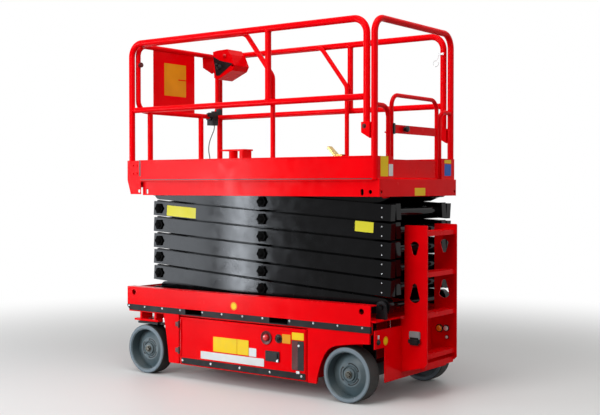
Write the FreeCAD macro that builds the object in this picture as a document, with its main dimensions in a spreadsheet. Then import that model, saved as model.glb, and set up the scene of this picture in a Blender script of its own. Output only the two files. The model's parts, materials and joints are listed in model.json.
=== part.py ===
import FreeCAD
import Part
import math
import os
import re

# Self-propelled scissor lift with a slide-out deck, stowed.
# +X points to the front, +Y to the left, +Z up. The origin is on the floor, below the middle of the machine.
# Lengths are in millimetres.

doc = FreeCAD.newDocument("ScissorLift")
sheet = doc.addObject("Spreadsheet::Sheet", "Sizes")

# Each row: alias, value.
SIZES = [
    # Chassis
    ("half_width", 560),
    ("chassis_front", 1260),
    ("chassis_rear", -1060),
    ("rail_rear", -1025),
    ("rail_bottom", 533),
    ("rail_top", 665),
    ("rail_sheet", 8),
    ("flange_width", 74),
    ("floor_top", 572),
    ("floor_sheet", 12),
    ("web_inset", 18),
    ("web_sheet", 12),
    ("web_bottom", 476),
    ("strip_bottom", 488),
    ("strip_sheet", 20),
    ("strip_chamfer", 30),
    ("tie_hole_radius", 20),
    ("tie_hole_inset", 72),
    ("tie_hole_height", 630),
    ("pocket_middle", 150),
    ("pocket_spacing", 810),
    ("pocket_length", 165),
    ("pocket_low", 494),
    ("pocket_high", 532),
    ("pocket_wall", 4),
    ("rear_plate_top", 508),
    ("rear_plate_step", 384),
    ("rear_plate_bottom", 145),
    ("rear_plate_inset", 130),
    # Wheels and axles
    ("wheel_radius", 190.5),
    ("wheel_width", 127),
    ("wheel_inset", 58.5),
    ("rim_radius", 162),
    ("rim_wall", 7),
    ("rim_dish", 48),
    ("rim_depth", 84),
    ("rim_lip", 4),
    ("disc_sheet", 12),
    ("hub_radius", 46),
    ("hub_face_width", 40),
    ("hub_rise", 2),
    ("spindle_radius", 25),
    ("spindle_inset", 32),
    ("tyre_shoulder", 14),
    ("front_axle", 1055),
    ("rear_axle", -835),
    ("running_gap", 0.08),
    ("moving_gap", 6),
    ("seat_gap", 0.3),
    ("motor_radius", 66),
    ("motor_inset", 260),
    ("steer_plate_front", 1190),
    ("steer_plate_rear", 935),
    ("steer_plate_sheet", 16),
    ("kingpin_radius", 22),
    ("steer_arm", 150),
    ("steer_rod_radius", 12),
    ("steer_eye_radius", 22),
    # Equipment trays and doors
    ("tray_front", 690),
    ("tray_rear", -490),
    ("tray_inset", 340),
    ("tray_bottom", 112),
    ("tray_top", 484),
    ("tray_sheet", 8),
    ("door_front", 694),
    ("door_rear", -500),
    ("door_bottom", 108),
    ("door_top", 470),
    ("door_inset", 4),
    ("door_sheet", 16),
    ("hinge_radius", 6),
    ("panel_inset", 2),
    ("panel_sheet", 16),
    ("panel_top", 486),
    ("panel_bottom", 104),
    # Ladder
    ("ladder_rear", -1260),
    ("ladder_upper_front", -1082),
    ("ladder_inset", 345),
    ("ladder_sheet", 10),
    ("ladder_top", 1200),
    ("ladder_bottom", 188),
    ("ladder_rise", 46),
    ("hand_hole_inset", 99),
    ("ladder_corner", 10),
    ("tread_spacing", 280),
    ("tread_first", 320),
    ("tread_height", 34),
    ("tread_depth", 96),
    # Scissor stack
    ("arm_pitch", 2080),
    ("arm_depth", 111),
    ("arm_width", 60),
    ("arm_end", 62),
    ("outer_arm_inset", 200),
    ("inner_arm_inset", 270),
    ("rear_pin", -1035),
    ("first_pin", 654),
    ("level_rise", 127.3),
    ("pin_radius", 20),
    ("pin_head", 12),
    ("cross_tube_radius", 32),
    ("stub_start", 150),
    ("roller_radius", 25),
    ("roller_inset", 130),
    ("roller_width", 48),
    ("track_rear", -190),
    ("track_front", 1130),
    ("pivot_plate", 18),
    ("pivot_radius", 40),
    # Lift cylinders
    ("cylinder_reach", 750),
    ("cylinder_radius", 50),
    ("cylinder_length", 1150),
    ("cylinder_beam_radius", 30),
    ("cylinder_eye_radius", 52),
    ("cylinder_eye_width", 76),
    ("rod_radius", 28),
    ("rod_eye_radius", 30),
    ("rod_eye_width", 52),
    ("rod_start", 110),
    ("rod_beam_offset", 68),
    ("ear_sheet", 12),
    # Platform
    ("beam_bottom", 1397),
    ("beam_top", 1516),
    ("toe_top", 1669),
    ("toe_sheet", 5),
    ("beam_sheet", 8),
    ("beam_flange", 60),
    ("platform_rear", -1065),
    ("beam_rear", -1080),
    ("beam_end_sheet", 5),
    ("beam_inset", 24),
    ("toe_corner", 30),
    ("top_nose_radius", 34),
    ("top_nose_length", 70),
    ("beam_front", 1110),
    ("platform_front", 1256),
    ("deck_bottom", 1490),
    ("deck_sheet", 9),
    ("deck_clearance", 6),
    ("cross_first", -560),
    ("cross_spacing", 400),
    ("cross_width", 60),
    ("cross_sheet", 6),
    ("post_seat_sheet", 12),
    ("slot_radius", 12),
    ("slot_low", 20),
    ("slot_high", 40),
    ("slot_inset", 47),
    ("rear_slot_inset", 122),
    ("web_hole_radius", 14),
    ("hole_rise", 32),
    ("bracket_hole_inset", 18),
    ("rear_hole_inset", 58),
    ("face_hole_radius", 12),
    ("face_hole_inset", 48),
    ("gate_inset", 222),
    # Slide-out deck
    ("slide_deck_inset", 62),
    ("slide_deck_rear", -200),
    ("slide_deck_sheet", 6),
    ("slide_deck_gap", 6),
    ("runner_middle", 435),
    ("runner_width", 30),
    # Guardrails
    ("guard_inset", 30),
    ("guard_radius", 24),
    ("guard_bend", 105),
    ("top_rail", 2591),
    ("mid_rail_drop", 64),
    ("rear_post", -975),
    ("middle_post", -140),
    ("front_post", 1232),
    ("fold_height", 1787),
    ("fold_bracket", 109),
    ("fold_chamfer", 38),
    ("fold_reach", 29),
    ("fold_half_width", 26),
    ("end_frame", -1036),
    ("shoulder_height", 2010),
    ("gate_post_radius", 17),
    ("gate_tube_radius", 15),
    ("gate_gap", 8),
    ("gate_top", 2090),
    ("gate_bottom", 1524),
    ("gate_bend", 80),
    ("gate_hinge_out", 22),
    ("gate_hinge_radius", 8),
    ("kick_top", 1651),
    ("gate_plate_low", 1829),
    ("gate_plate_high", 1888),
    ("slide_guard_inset", 82),
    ("slide_guard_radius", 20),
    ("slide_guard_front", 1215),
    ("slide_guard_rear", -142),
    ("slide_guard_knee", 2257),
    ("slide_guard_slope", 252),
    ("slide_guard_bend", 85),
    ("slide_post_left", 345),
    ("slide_post_right", -265),
    ("slide_post_radius", 22),
    ("document_left", 310),
    ("document_right", -180),
    ("document_sheet", 4),
    # Fittings on the slide-out deck: lock, pedal, lead and control box
    ("lock_rear", 812),
    ("lock_front", 1077),
    ("lock_leg", 828),
    ("lock_leg_width", 34),
    ("lock_post", 978),
    ("lock_post_radius", 38),
    ("lock_width", 120),
    ("lock_top", 1779),
    ("lock_sheet", 14),
    ("pedal_length", 142),
    ("pedal_sheet", 18),
    ("pedal_reach", 12),
    ("pedal_width", 60),
    ("pedal_low", 1702),
    ("pedal_high", 1787),
    ("lead_radius", 4),
    ("clamp_rear", 1182),
    ("clamp_front", 1240),
    ("clamp_inset", 28),
    ("clamp_width", 78),
    ("clamp_low", 1992),
    ("gland_radius", 11),
    ("gland_height", 30),
    ("box_rear", 844),
    ("box_front", 1081),
    ("box_width", 191.7),
    ("box_below", 225),
    ("box_above", 23),
]

for row, (alias, value) in enumerate(SIZES, start=1):
    sheet.set(f"A{row}", alias)
    sheet.set(f"B{row}", str(value))
    sheet.setAlias(f"B{row}", alias)
doc.recompute()

# Places that follow from the sizes, so that they move together with them
FOLLOWS = {
    "web_outer": "(half_width - web_inset)",
    "rear_plate_half": "(half_width - rear_plate_inset)",
    "wheel_middle": "(half_width - wheel_inset)",
    "spindle_end": "(half_width - spindle_inset)",
    "motor_inner": "(half_width - motor_inset)",
    "tray_inner": "(half_width - tray_inset)",
    "door_outer": "(half_width - door_inset)",
    "panel_outer": "(half_width - panel_inset)",
    "ladder_half_width": "(half_width - ladder_inset)",
    "outer_arm": "(half_width - outer_arm_inset)",
    "inner_arm": "(half_width - inner_arm_inset)",
    "roller_inner": "(half_width - roller_inset)",
    "roller_outer": "(half_width - roller_inset + roller_width)",
    "slide_deck_half_width": "(half_width - slide_deck_inset)",
    "guard_middle": "(half_width - guard_inset)",
    "gate_opening": "(half_width - gate_inset)",
    "slide_guard_middle": "(half_width - slide_guard_inset)",
    "mid_rail": "((toe_top + top_rail) / 2 - mid_rail_drop)",
    "box_low": "(top_rail - box_below)",
    "box_high": "(top_rail + box_above)",
}
FOLLOWING = re.compile(r"\b(" + "|".join(FOLLOWS) + r")\b")
ALIASES = re.compile(r"\b(" + "|".join(alias for alias, value in SIZES) + r")\b")
LEVELS = 6
SIDES = {"left": 1, "right": -1}


def bound(expression):
    """The expression with following places written out, and the sheet's name before each alias."""
    written_out = FOLLOWING.sub(lambda found: FOLLOWS[found.group()], str(expression))
    return ALIASES.sub(r"Sizes.\1", written_out)


def number(expression):
    """The value of an expression of the sheet's aliases, angles in degrees."""
    return float(sheet.evalExpression(bound(expression)))


def place(thing, x="0", y="0", z="0"):
    """Bind a thing's place to expressions."""
    for axis, expression in zip("xyz", (x, y, z)):
        thing.setExpression(f"Placement.Base.{axis}", bound(expression))
    return thing


def block(name, x, y, z):
    """A box between a low and a high expression on each axis."""
    thing = doc.addObject("Part::Box", name)
    for size, (low, high) in zip(("Length", "Width", "Height"), (x, y, z)):
        thing.setExpression(size, bound(f"({high}) - ({low})"))
    return place(thing, x[0], y[0], z[0])


def bar(name, axis, radius, start, finish, across):
    """A round bar along an axis, from start to finish, at the place across in the other two axes."""
    thing = doc.addObject("Part::Cylinder", name)
    thing.setExpression("Radius", bound(radius))
    thing.setExpression("Height", bound(f"({finish}) - ({start})"))
    turns = {"x": ((0, 1, 0), 90), "y": ((1, 0, 0), -90), "z": ((0, 0, 1), 0)}
    turn_axis, turn = turns[axis]
    thing.Placement.Rotation = FreeCAD.Rotation(FreeCAD.Vector(*turn_axis), turn)
    centre = list(across)
    centre.insert("xyz".index(axis), start)
    return place(thing, *centre)


def join(name, pieces):
    """Several pieces made one solid."""
    thing = doc.addObject("Part::MultiFuse", name)
    thing.Shapes = pieces
    thing.Refine = True
    return thing


def trim(name, base, tool):
    """A piece with another cut out of it."""
    thing = doc.addObject("Part::Cut", name)
    thing.Base = base
    thing.Tool = tool
    thing.Refine = True
    return thing


def group(name, pieces):
    """Several solids kept apart in one sub-part."""
    thing = doc.addObject("Part::Compound", name)
    thing.Links = pieces
    return thing


def mirrored(thing):
    """The thing's copy on the machine's other side."""
    copy = doc.addObject("Part::Mirroring", thing.Name + "_other_side")
    copy.Source = thing
    copy.Normal = (0, 1, 0)
    copy.Base = (0, 0, 0)
    return copy


def both(thing):
    """A thing and its copy on the other side."""
    return [thing, mirrored(thing)]


def shaped(name, shape):
    """A feature that holds a shape made from the sheet's values."""
    thing = doc.addObject("Part::Feature", name)
    thing.Shape = shape
    return thing


def handed(label, solid, sign):
    """Keep a left piece as it is, or its mirror image where the side's sign is negative."""
    node(label, solid if sign > 0 else mirrored(solid))


def outline_face(outline, y):
    """A face in an XZ plane. An outline entry is a corner (x, z), or an arc (via x, via z, end x, end z)."""
    points = [[number(value) for value in entry] for entry in outline]
    edges = []
    here = FreeCAD.Vector(points[0][0], y, points[0][1])
    for entry in points[1:] + points[:1]:
        end = FreeCAD.Vector(entry[-2], y, entry[-1])
        if len(entry) == 4:
            via = FreeCAD.Vector(entry[0], y, entry[1])
            edges.append(Part.Arc(here, via, end).toShape())
        else:
            edges.append(Part.LineSegment(here, end).toShape())
        here = end
    return Part.Face(Part.Wire(edges))


def plate(name, outline, low, high):
    """A flat plate with an outline in XZ, between two Y values."""
    face = outline_face(outline, number(low))
    return shaped(name, face.extrude(FreeCAD.Vector(0, number(high) - number(low), 0)))


BEND_SHARE = 0.45


def pipe(name, corners, radius, bend=None):
    """A round bar along corners (x, y, z). With no bend radius, a bend takes a share of its shorter run."""
    points = [FreeCAD.Vector(*(number(value) for value in corner)) for corner in corners]
    edges = []
    here = points[0]
    for before, corner, after in zip(points, points[1:], points[2:]):
        inward = (before - corner).normalize()
        outward = (after - corner).normalize()
        half_angle = inward.getAngle(outward) / 2
        shorter = min(before.distanceToPoint(corner), after.distanceToPoint(corner))
        setback = BEND_SHARE * shorter if bend is None else number(bend) / math.tan(half_angle)
        bend_radius = setback * math.tan(half_angle)
        start = corner + inward * setback
        finish = corner + outward * setback
        centre = corner + (inward + outward).normalize() * (bend_radius / math.sin(half_angle))
        middle = centre + (corner - centre).normalize() * bend_radius
        edges.append(Part.LineSegment(here, start).toShape())
        edges.append(Part.Arc(start, middle, finish).toShape())
        here = finish
    edges.append(Part.LineSegment(here, points[-1]).toShape())
    path = Part.Wire(edges)
    ring = Part.Wire(Part.Circle(points[0], points[1] - points[0], number(radius)).toShape())
    return shaped(name, path.makePipeShell([ring], True, False))


def turned(name, profile, x, z):
    """A solid turned about an axis along Y at (x, z). Its profile is an outline of (radius, y) entries."""
    swapped = [
        [f"({x}) + ({entry[i]})" if i % 2 == 0 else entry[i] for i in range(len(entry))]
        for entry in profile
    ]
    points = [[number(value) for value in entry] for entry in swapped]
    height = number(z)
    edges = []
    here = FreeCAD.Vector(points[0][0], points[0][1], height)
    for entry in points[1:] + points[:1]:
        end = FreeCAD.Vector(entry[-2], entry[-1], height)
        if len(entry) == 4:
            edges.append(Part.Arc(here, FreeCAD.Vector(entry[0], entry[1], height), end).toShape())
        else:
            edges.append(Part.LineSegment(here, end).toShape())
        here = end
    face = Part.Face(Part.Wire(edges))
    return shaped(name, face.revolve(FreeCAD.Vector(number(x), 0, height), FreeCAD.Vector(0, 1, 0), 360))


nodes = []


def node(label, thing):
    """Name a sub-part and keep it for the export."""
    thing.Label = label
    nodes.append(thing)
    return thing


FLOOR_BOTTOM = "floor_top - floor_sheet"
RAIL_INNER = "half_width - rail_sheet"
WEB_INNER = "web_outer - web_sheet"
TRAY_WALL_TOP = FLOOR_BOTTOM
TRAY_OUTER = WEB_INNER
STOW_ANGLE = "asin(level_rise / arm_pitch)"
TRACK_TOP = "first_pin - roller_radius - seat_gap"
TOP_PIN = f"(first_pin + {LEVELS} * level_rise)"
POCKETS = {"front": "pocket_middle + pocket_spacing / 2", "rear": "pocket_middle - pocket_spacing / 2"}


def end_plates():
    """Front plate between the rails, and the rear plate that carries the ladder, narrower below."""
    front = block(
        "front_plate",
        ("chassis_front - rail_sheet", "chassis_front"),
        (f"-({RAIL_INNER})", RAIL_INNER),
        ("floor_top", "rail_top"),
    )
    depth = ("chassis_rear", "chassis_rear + rail_sheet")
    rear = [
        block(
            "rear_wide_plate", depth, ("-half_width", "half_width"), ("rear_plate_step", "rear_plate_top")
        ),
        block(
            "rear_low_plate",
            depth,
            ("-rear_plate_half", "rear_plate_half"),
            ("rear_plate_bottom", "rear_plate_top"),
        ),
        block(
            "rear_tongue",
            depth,
            ("-ladder_half_width", "ladder_half_width"),
            ("rear_plate_step", FLOOR_BOTTOM),
        ),
    ]
    node("end_plates", group("end_plates", [front, join("rear_plate", rear)]))


def chassis_floor():
    """Flat floor between the rails."""
    across = (f"-({RAIL_INNER})", RAIL_INNER)
    node(
        "chassis_floor",
        block("chassis_floor", ("chassis_rear", "chassis_front"), across, (FLOOR_BOTTOM, "floor_top")),
    )


def fork_pockets():
    """Two rectangular tubes across the chassis, and the blocks that cut their way through the rails."""
    tubes, ways = [], []
    for name, x in POCKETS.items():
        low, high = f"({x}) - pocket_length / 2", f"({x}) + pocket_length / 2"
        outside = (f"{low} - pocket_wall", f"{high} + pocket_wall")
        rise = ("pocket_low - pocket_wall", "pocket_high + pocket_wall")
        tube = block(f"{name}_pocket_solid", outside, ("-web_outer", "web_outer"), rise)
        hole = block(
            f"{name}_pocket_hole", (low, high), ("-half_width", "half_width"), ("pocket_low", "pocket_high")
        )
        tubes.append(trim(f"{name}_pocket", tube, hole))
        ways.append(block(f"{name}_pocket_way", outside, ("-web_outer", "web_outer"), rise))
    node("fork_pockets", group("fork_pockets", tubes))
    return ways


def side_rails():
    """Left and right rail of the chassis with its flanges, lower web, tie-down holes and pocket ways."""
    length = ("rail_rear", "chassis_front")
    flange = ("half_width - flange_width", "half_width")
    rail = join(
        "rail_solid",
        [
            block("rail_web", length, (RAIL_INNER, "half_width"), ("rail_bottom", "rail_top")),
            block("rail_top_flange", length, flange, ("rail_top", "rail_top + rail_sheet")),
            block(
                "rail_low_flange",
                length,
                (WEB_INNER, "half_width"),
                ("rail_bottom", "rail_bottom + rail_sheet"),
            ),
            block("lower_web", length, (WEB_INNER, "web_outer"), ("web_bottom", FLOOR_BOTTOM)),
        ],
    )
    holes = fork_pockets()
    for name, x in (("front", "chassis_front - tie_hole_inset"), ("rear", "rail_rear + tie_hole_inset")):
        span = (f"{RAIL_INNER} - 1", "half_width + 1")
        holes.append(bar(f"{name}_tie_hole", "y", "tie_hole_radius", *span, (x, "tie_hole_height")))
    node("side_rails", group("side_rails", both(trim("cut_rail", rail, join("rail_holes", holes)))))


def stack_seats():
    """The lowest rollers' tracks and the bossed posts that hold the stack's rear pivots."""
    post_span = ("roller_inner - 5", "roller_inner - 5 + pivot_plate")
    post = join(
        "pivot_post",
        [
            block(
                "pivot_plate",
                ("rear_pin - pivot_radius", "rear_pin + pivot_radius"),
                post_span,
                ("floor_top", "first_pin"),
            ),
            bar("pivot_boss", "y", "pivot_radius", *post_span, ("rear_pin", "first_pin")),
        ],
    )
    bore_span = ("roller_inner - 6", "roller_inner + pivot_plate")
    bore = bar("pivot_bore", "y", "pin_radius + running_gap", *bore_span, ("rear_pin", "first_pin"))
    track = block(
        "roller_track",
        ("track_rear", "track_front"),
        ("roller_inner", "roller_outer + 2"),
        ("floor_top", TRACK_TOP),
    )
    node("stack_seats", group("stack_seats", both(track) + both(trim("bored_post", post, bore))))


def bumper_strips():
    """Rubber strips along both sides, open at the fork pockets."""
    corner = "strip_chamfer"
    outline = [
        ("rail_rear", "strip_bottom"),
        (f"chassis_front - {corner}", "strip_bottom"),
        ("chassis_front", f"strip_bottom + {corner}"),
        ("chassis_front", "rail_bottom"),
        ("rail_rear", "rail_bottom"),
    ]
    strip = plate("strip", outline, "web_outer", "web_outer + strip_sheet")
    holes = [
        block(
            f"{name}_strip_gap",
            (f"({x}) - pocket_length / 2", f"({x}) + pocket_length / 2"),
            ("web_outer - 1", "half_width + strip_sheet"),
            ("pocket_low", "rail_bottom + 1"),
        )
        for name, x in POCKETS.items()
    ]
    node("bumper_strips", group("bumper_strips", both(trim("cut_strip", strip, join("strip_gaps", holes)))))


DOOR_HINGES = ("door_bottom + 60", "door_top - 92")
DOOR_HINGE_X, DOOR_HINGE_Y = "door_front + hinge_radius", "door_outer - hinge_radius + 4"


def side_panels():
    """Outer skins in front of and behind each door, curved round the wheels."""
    front = [
        ("door_front + 14", "panel_bottom + 6"),
        ("front_axle - 244", "panel_bottom + 6"),
        ("front_axle - 222", "wheel_radius + 100", "front_axle - 187", "panel_top - 10"),
        ("front_axle - 187", "panel_top"),
        ("door_front + 14", "panel_top"),
    ]
    rear = [
        ("door_rear - 9", "panel_bottom"),
        ("door_rear - 9", "panel_top"),
        ("rail_rear + 8", "panel_top"),
        ("rail_rear + 8", "wheel_radius + 224"),
        ("rear_axle - 45", "wheel_radius + 212", "rear_axle + 79", "wheel_radius + 192"),
        ("rear_axle + 145", "wheel_radius + 165", "rear_axle + 187", "wheel_radius + 115"),
        ("rear_axle + 226", "wheel_radius + 24", "rear_axle + 251", "panel_bottom"),
    ]
    pieces = []
    span = ("panel_outer - panel_sheet", "panel_outer")
    front_pieces = [plate("front_panel", front, *span)]
    for index, height in enumerate(DOOR_HINGES):
        front_pieces.append(
            block(
                f"door_lug_{index}",
                (f"{DOOR_HINGE_X} - 2", "door_front + 15"),
                (f"{DOOR_HINGE_Y} - hinge_radius", f"{DOOR_HINGE_Y} + 2"),
                (f"{height} - 8 - seat_gap", f"{height} - seat_gap"),
            )
        )
    pieces += both(join("front_panel_lugs", front_pieces))
    pieces += both(plate("rear_panel", rear, *span))
    node("side_panels", group("side_panels", pieces))


def equipment_trays():
    """The open trays behind the doors, and what stands in them."""
    across = ("tray_inner", TRAY_OUTER)
    pieces = [
        block(
            "tray_floor", ("tray_rear", "tray_front"), across, ("tray_bottom", "tray_bottom + tray_sheet")
        ),
        block(
            "tray_wall",
            ("tray_rear", "tray_front"),
            ("tray_inner", "tray_inner + tray_sheet"),
            ("tray_bottom", "tray_top"),
        ),
        block(
            "tray_front_wall",
            ("tray_front - tray_sheet", "tray_front"),
            across,
            ("tray_bottom", TRAY_WALL_TOP),
        ),
        block(
            "tray_rear_wall",
            ("tray_rear", "tray_rear + tray_sheet"),
            across,
            ("tray_bottom", TRAY_WALL_TOP),
        ),
    ]
    tray = join("tray", pieces)
    node("equipment_trays", group("equipment_trays", both(tray)))
    standing = ("tray_bottom + tray_sheet", "tray_top - 60")
    node(
        "battery_pack",
        block(
            "battery_pack",
            ("tray_rear + 230", "tray_front - 60"),
            ("tray_inner + 40", f"{TRAY_OUTER} - 30"),
            standing,
        ),
    )
    node(
        "hydraulic_unit",
        block(
            "hydraulic_unit",
            ("tray_rear + 480", "tray_front - 200"),
            (f"-({TRAY_OUTER}) + 30", "-tray_inner - 40"),
            standing,
        ),
    )


STEER_TOP = "wheel_radius * 2 + moving_gap + steer_plate_sheet"
FIXED_LOW = f"{STEER_TOP} + moving_gap"


def front_axle():
    """Cross beam with a kingpin plate over each front wheel."""
    beam = block(
        "axle_beam",
        ("front_axle - 45", "front_axle + 45"),
        ("-wheel_middle + 80", "wheel_middle - 80"),
        (FIXED_LOW, FLOOR_BOTTOM),
    )
    plate_low, plate_high = FIXED_LOW, f"{FIXED_LOW} + steer_plate_sheet"
    side = [
        block(
            "kingpin_plate",
            ("steer_plate_rear", "steer_plate_front"),
            ("wheel_middle - 100", "web_outer + 10"),
            (plate_low, plate_high),
        ),
        block(
            "front_gusset",
            ("steer_plate_front - 60", "steer_plate_front - 40"),
            ("wheel_middle - 90", WEB_INNER),
            (plate_high, FLOOR_BOTTOM),
        ),
        block(
            "rear_gusset",
            ("steer_plate_rear + 40", "steer_plate_rear + 60"),
            ("wheel_middle - 90", WEB_INNER),
            (plate_high, FLOOR_BOTTOM),
        ),
    ]
    pieces = [beam]
    for piece in side:
        pieces += both(piece)
    hole = bar(
        "kingpin_hole",
        "z",
        "kingpin_radius + running_gap",
        "wheel_radius * 2",
        "wheel_radius * 2 + 100",
        ("front_axle", "wheel_middle"),
    )
    node("front_axle", trim("front_axle", join("axle_solid", pieces), join("kingpin_holes", both(hole))))


def knuckle(side, sign):
    """Steering knuckle: plate over the wheel, kingpin, leg, drive motor and spindle."""
    plate_low = "wheel_radius * 2 + moving_gap"
    leg_inner = "wheel_middle - wheel_width / 2 - 30"
    leg_outer = "wheel_middle - wheel_width / 2 - 10"
    rod_x = "front_axle - steer_arm"
    pieces = [
        block(
            "top_plate",
            ("front_axle - 105", "front_axle + 105"),
            (leg_inner, "web_outer"),
            (plate_low, STEER_TOP),
        ),
        block(
            "leg",
            ("front_axle - 50", "front_axle + 50"),
            (leg_inner, leg_outer),
            ("wheel_radius - 70", STEER_TOP),
        ),
        block(
            "steer_arm_bar",
            (rod_x, "front_axle - 100"),
            ("wheel_middle - 20", "wheel_middle + 20"),
            (plate_low, STEER_TOP),
        ),
        bar("steer_arm_eye", "z", "steer_eye_radius", plate_low, STEER_TOP, (rod_x, "wheel_middle")),
        bar(
            "kingpin",
            "z",
            "kingpin_radius",
            plate_low,
            f"{FIXED_LOW} + steer_plate_sheet + 4",
            ("front_axle", "wheel_middle"),
        ),
        bar("motor", "y", "motor_radius", "motor_inner", leg_outer, ("front_axle", "wheel_radius")),
        bar("spindle", "y", "spindle_radius", "motor_inner", "spindle_end", ("front_axle", "wheel_radius")),
    ]
    handed(f"knuckle_{side}", join(f"knuckle_{side}_solid", pieces), sign)


def steering():
    """Steering cylinder on the chassis, and its through rod."""
    x = "front_axle - steer_arm"
    z = f"{FIXED_LOW} + steer_rod_radius + 4"
    barrel = [
        bar("steer_barrel", "y", "steer_rod_radius * 2.6", "-150", "150", (x, z)),
        block("steer_bracket", (f"{x} - 20", f"{x} + 20"), ("90", "120"), (z, FLOOR_BOTTOM)),
        block("steer_bracket_other", (f"{x} - 20", f"{x} + 20"), ("-120", "-90"), (z, FLOOR_BOTTOM)),
    ]
    bore = bar("steer_bore", "y", "steer_rod_radius + running_gap", "-160", "160", (x, z))
    node("steering_cylinder", trim("steering_cylinder", join("steer_barrel_solid", barrel), bore))
    rod = [bar("steer_rod_bar", "y", "steer_rod_radius", "-wheel_middle", "wheel_middle", (x, z))]
    rod += both(
        bar(
            "steer_rod_eye",
            "z",
            "steer_eye_radius",
            FIXED_LOW,
            f"{z} + steer_rod_radius + 4",
            (x, "wheel_middle"),
        )
    )
    node("steering_rod", join("steering_rod", rod))


def rear_axle():
    """Fixed rear axle with its wheel motors and hangers."""
    pieces = [
        block(
            "rear_beam",
            ("rear_axle - 45", "rear_axle + 45"),
            ("-motor_inner", "motor_inner"),
            ("wheel_radius - 45", "wheel_radius + 45"),
        ),
    ]
    side = [
        bar(
            "rear_motor",
            "y",
            "motor_radius",
            "motor_inner - 10",
            "wheel_middle - wheel_width / 2 - 18",
            ("rear_axle", "wheel_radius"),
        ),
        bar(
            "rear_spindle",
            "y",
            "spindle_radius",
            "motor_inner",
            "spindle_end",
            ("rear_axle", "wheel_radius"),
        ),
        block(
            "hanger",
            ("rear_axle - 50", "rear_axle + 50"),
            ("motor_inner - 40", "motor_inner - 20"),
            ("wheel_radius - 30", FLOOR_BOTTOM),
        ),
    ]
    for piece in side:
        pieces += both(piece)
    node("rear_axle", join("rear_axle", pieces))


WHEELS = [
    # Name, axle, side
    ("front_left", "front_axle", 1),
    ("front_right", "front_axle", -1),
    ("rear_left", "rear_axle", 1),
    ("rear_right", "rear_axle", -1),
]


def wheel(name, x, sign):
    """Solid tyre on a deep dished rim."""
    inner, outer = "(wheel_middle - wheel_width / 2)", "(wheel_middle + wheel_width / 2)"
    tyre = [
        ("rim_radius", inner),
        ("wheel_radius - tyre_shoulder", inner),
        (
            "wheel_radius - tyre_shoulder * 0.3",
            f"{inner} + tyre_shoulder * 0.3",
            "wheel_radius",
            f"{inner} + tyre_shoulder",
        ),
        ("wheel_radius", f"{outer} - tyre_shoulder"),
        (
            "wheel_radius - tyre_shoulder * 0.3",
            f"{outer} - tyre_shoulder * 0.3",
            "wheel_radius - tyre_shoulder",
            outer,
        ),
        ("rim_radius", outer),
    ]
    disc = f"({outer} - rim_dish)"
    disc_edge = f"({outer} - rim_depth)"
    bore = "spindle_radius + running_gap"
    rim = [
        (bore, f"{inner} + disc_sheet"),
        ("hub_radius", f"{inner} + disc_sheet"),
        ("hub_radius", f"{disc} - disc_sheet"),
        ("rim_radius - rim_wall", f"{disc_edge} - disc_sheet"),
        ("rim_radius - rim_wall", f"{inner} + rim_lip"),
        ("rim_radius", f"{inner} + rim_lip"),
        ("rim_radius", f"{outer} - rim_lip"),
        ("rim_radius - rim_wall", f"{outer} - rim_lip"),
        ("rim_radius - rim_wall", disc_edge),
        ("hub_radius + hub_face_width", disc),
        ("hub_radius", disc),
        ("hub_radius - rim_lip", "spindle_end + hub_rise"),
        (bore, "spindle_end + hub_rise"),
    ]
    for part, profile in (("tyre", tyre), ("rim", rim)):
        handed(f"{part}_{name}", turned(f"{part}_{name}_solid", profile, x, "wheel_radius"), sign)


def door(side, sign):
    """Pressed side door on two hinges at its front edge."""
    inner = "door_outer - door_sheet"
    pieces = [
        block("door_skin", ("door_rear", "door_front"), (inner, "door_outer"), ("door_bottom", "door_top")),
    ]
    for index, height in enumerate(DOOR_HINGES):
        place_xy = (DOOR_HINGE_X, DOOR_HINGE_Y)
        pieces.append(bar(f"door_hinge_{index}", "z", "hinge_radius", height, f"{height} + 44", place_xy))
    handed(f"{side}_door", join(f"{side}_door_solid", pieces), sign)


# How far a round corner's middle lies in from the square corner, along each edge
CORNER_DROP = "ladder_corner * (1 - cos(45))"
HAND_HOLES = [
    # Name, then how far below the ladder's top: bottom, lower corners, upper corners, top.
    # Then half the width at the lower and at the upper corners.
    ("upper", 206, 190, 134, 110, 18, 34),
    ("lower", 531, 505, 420, 398, 43, 20),
]


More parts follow.
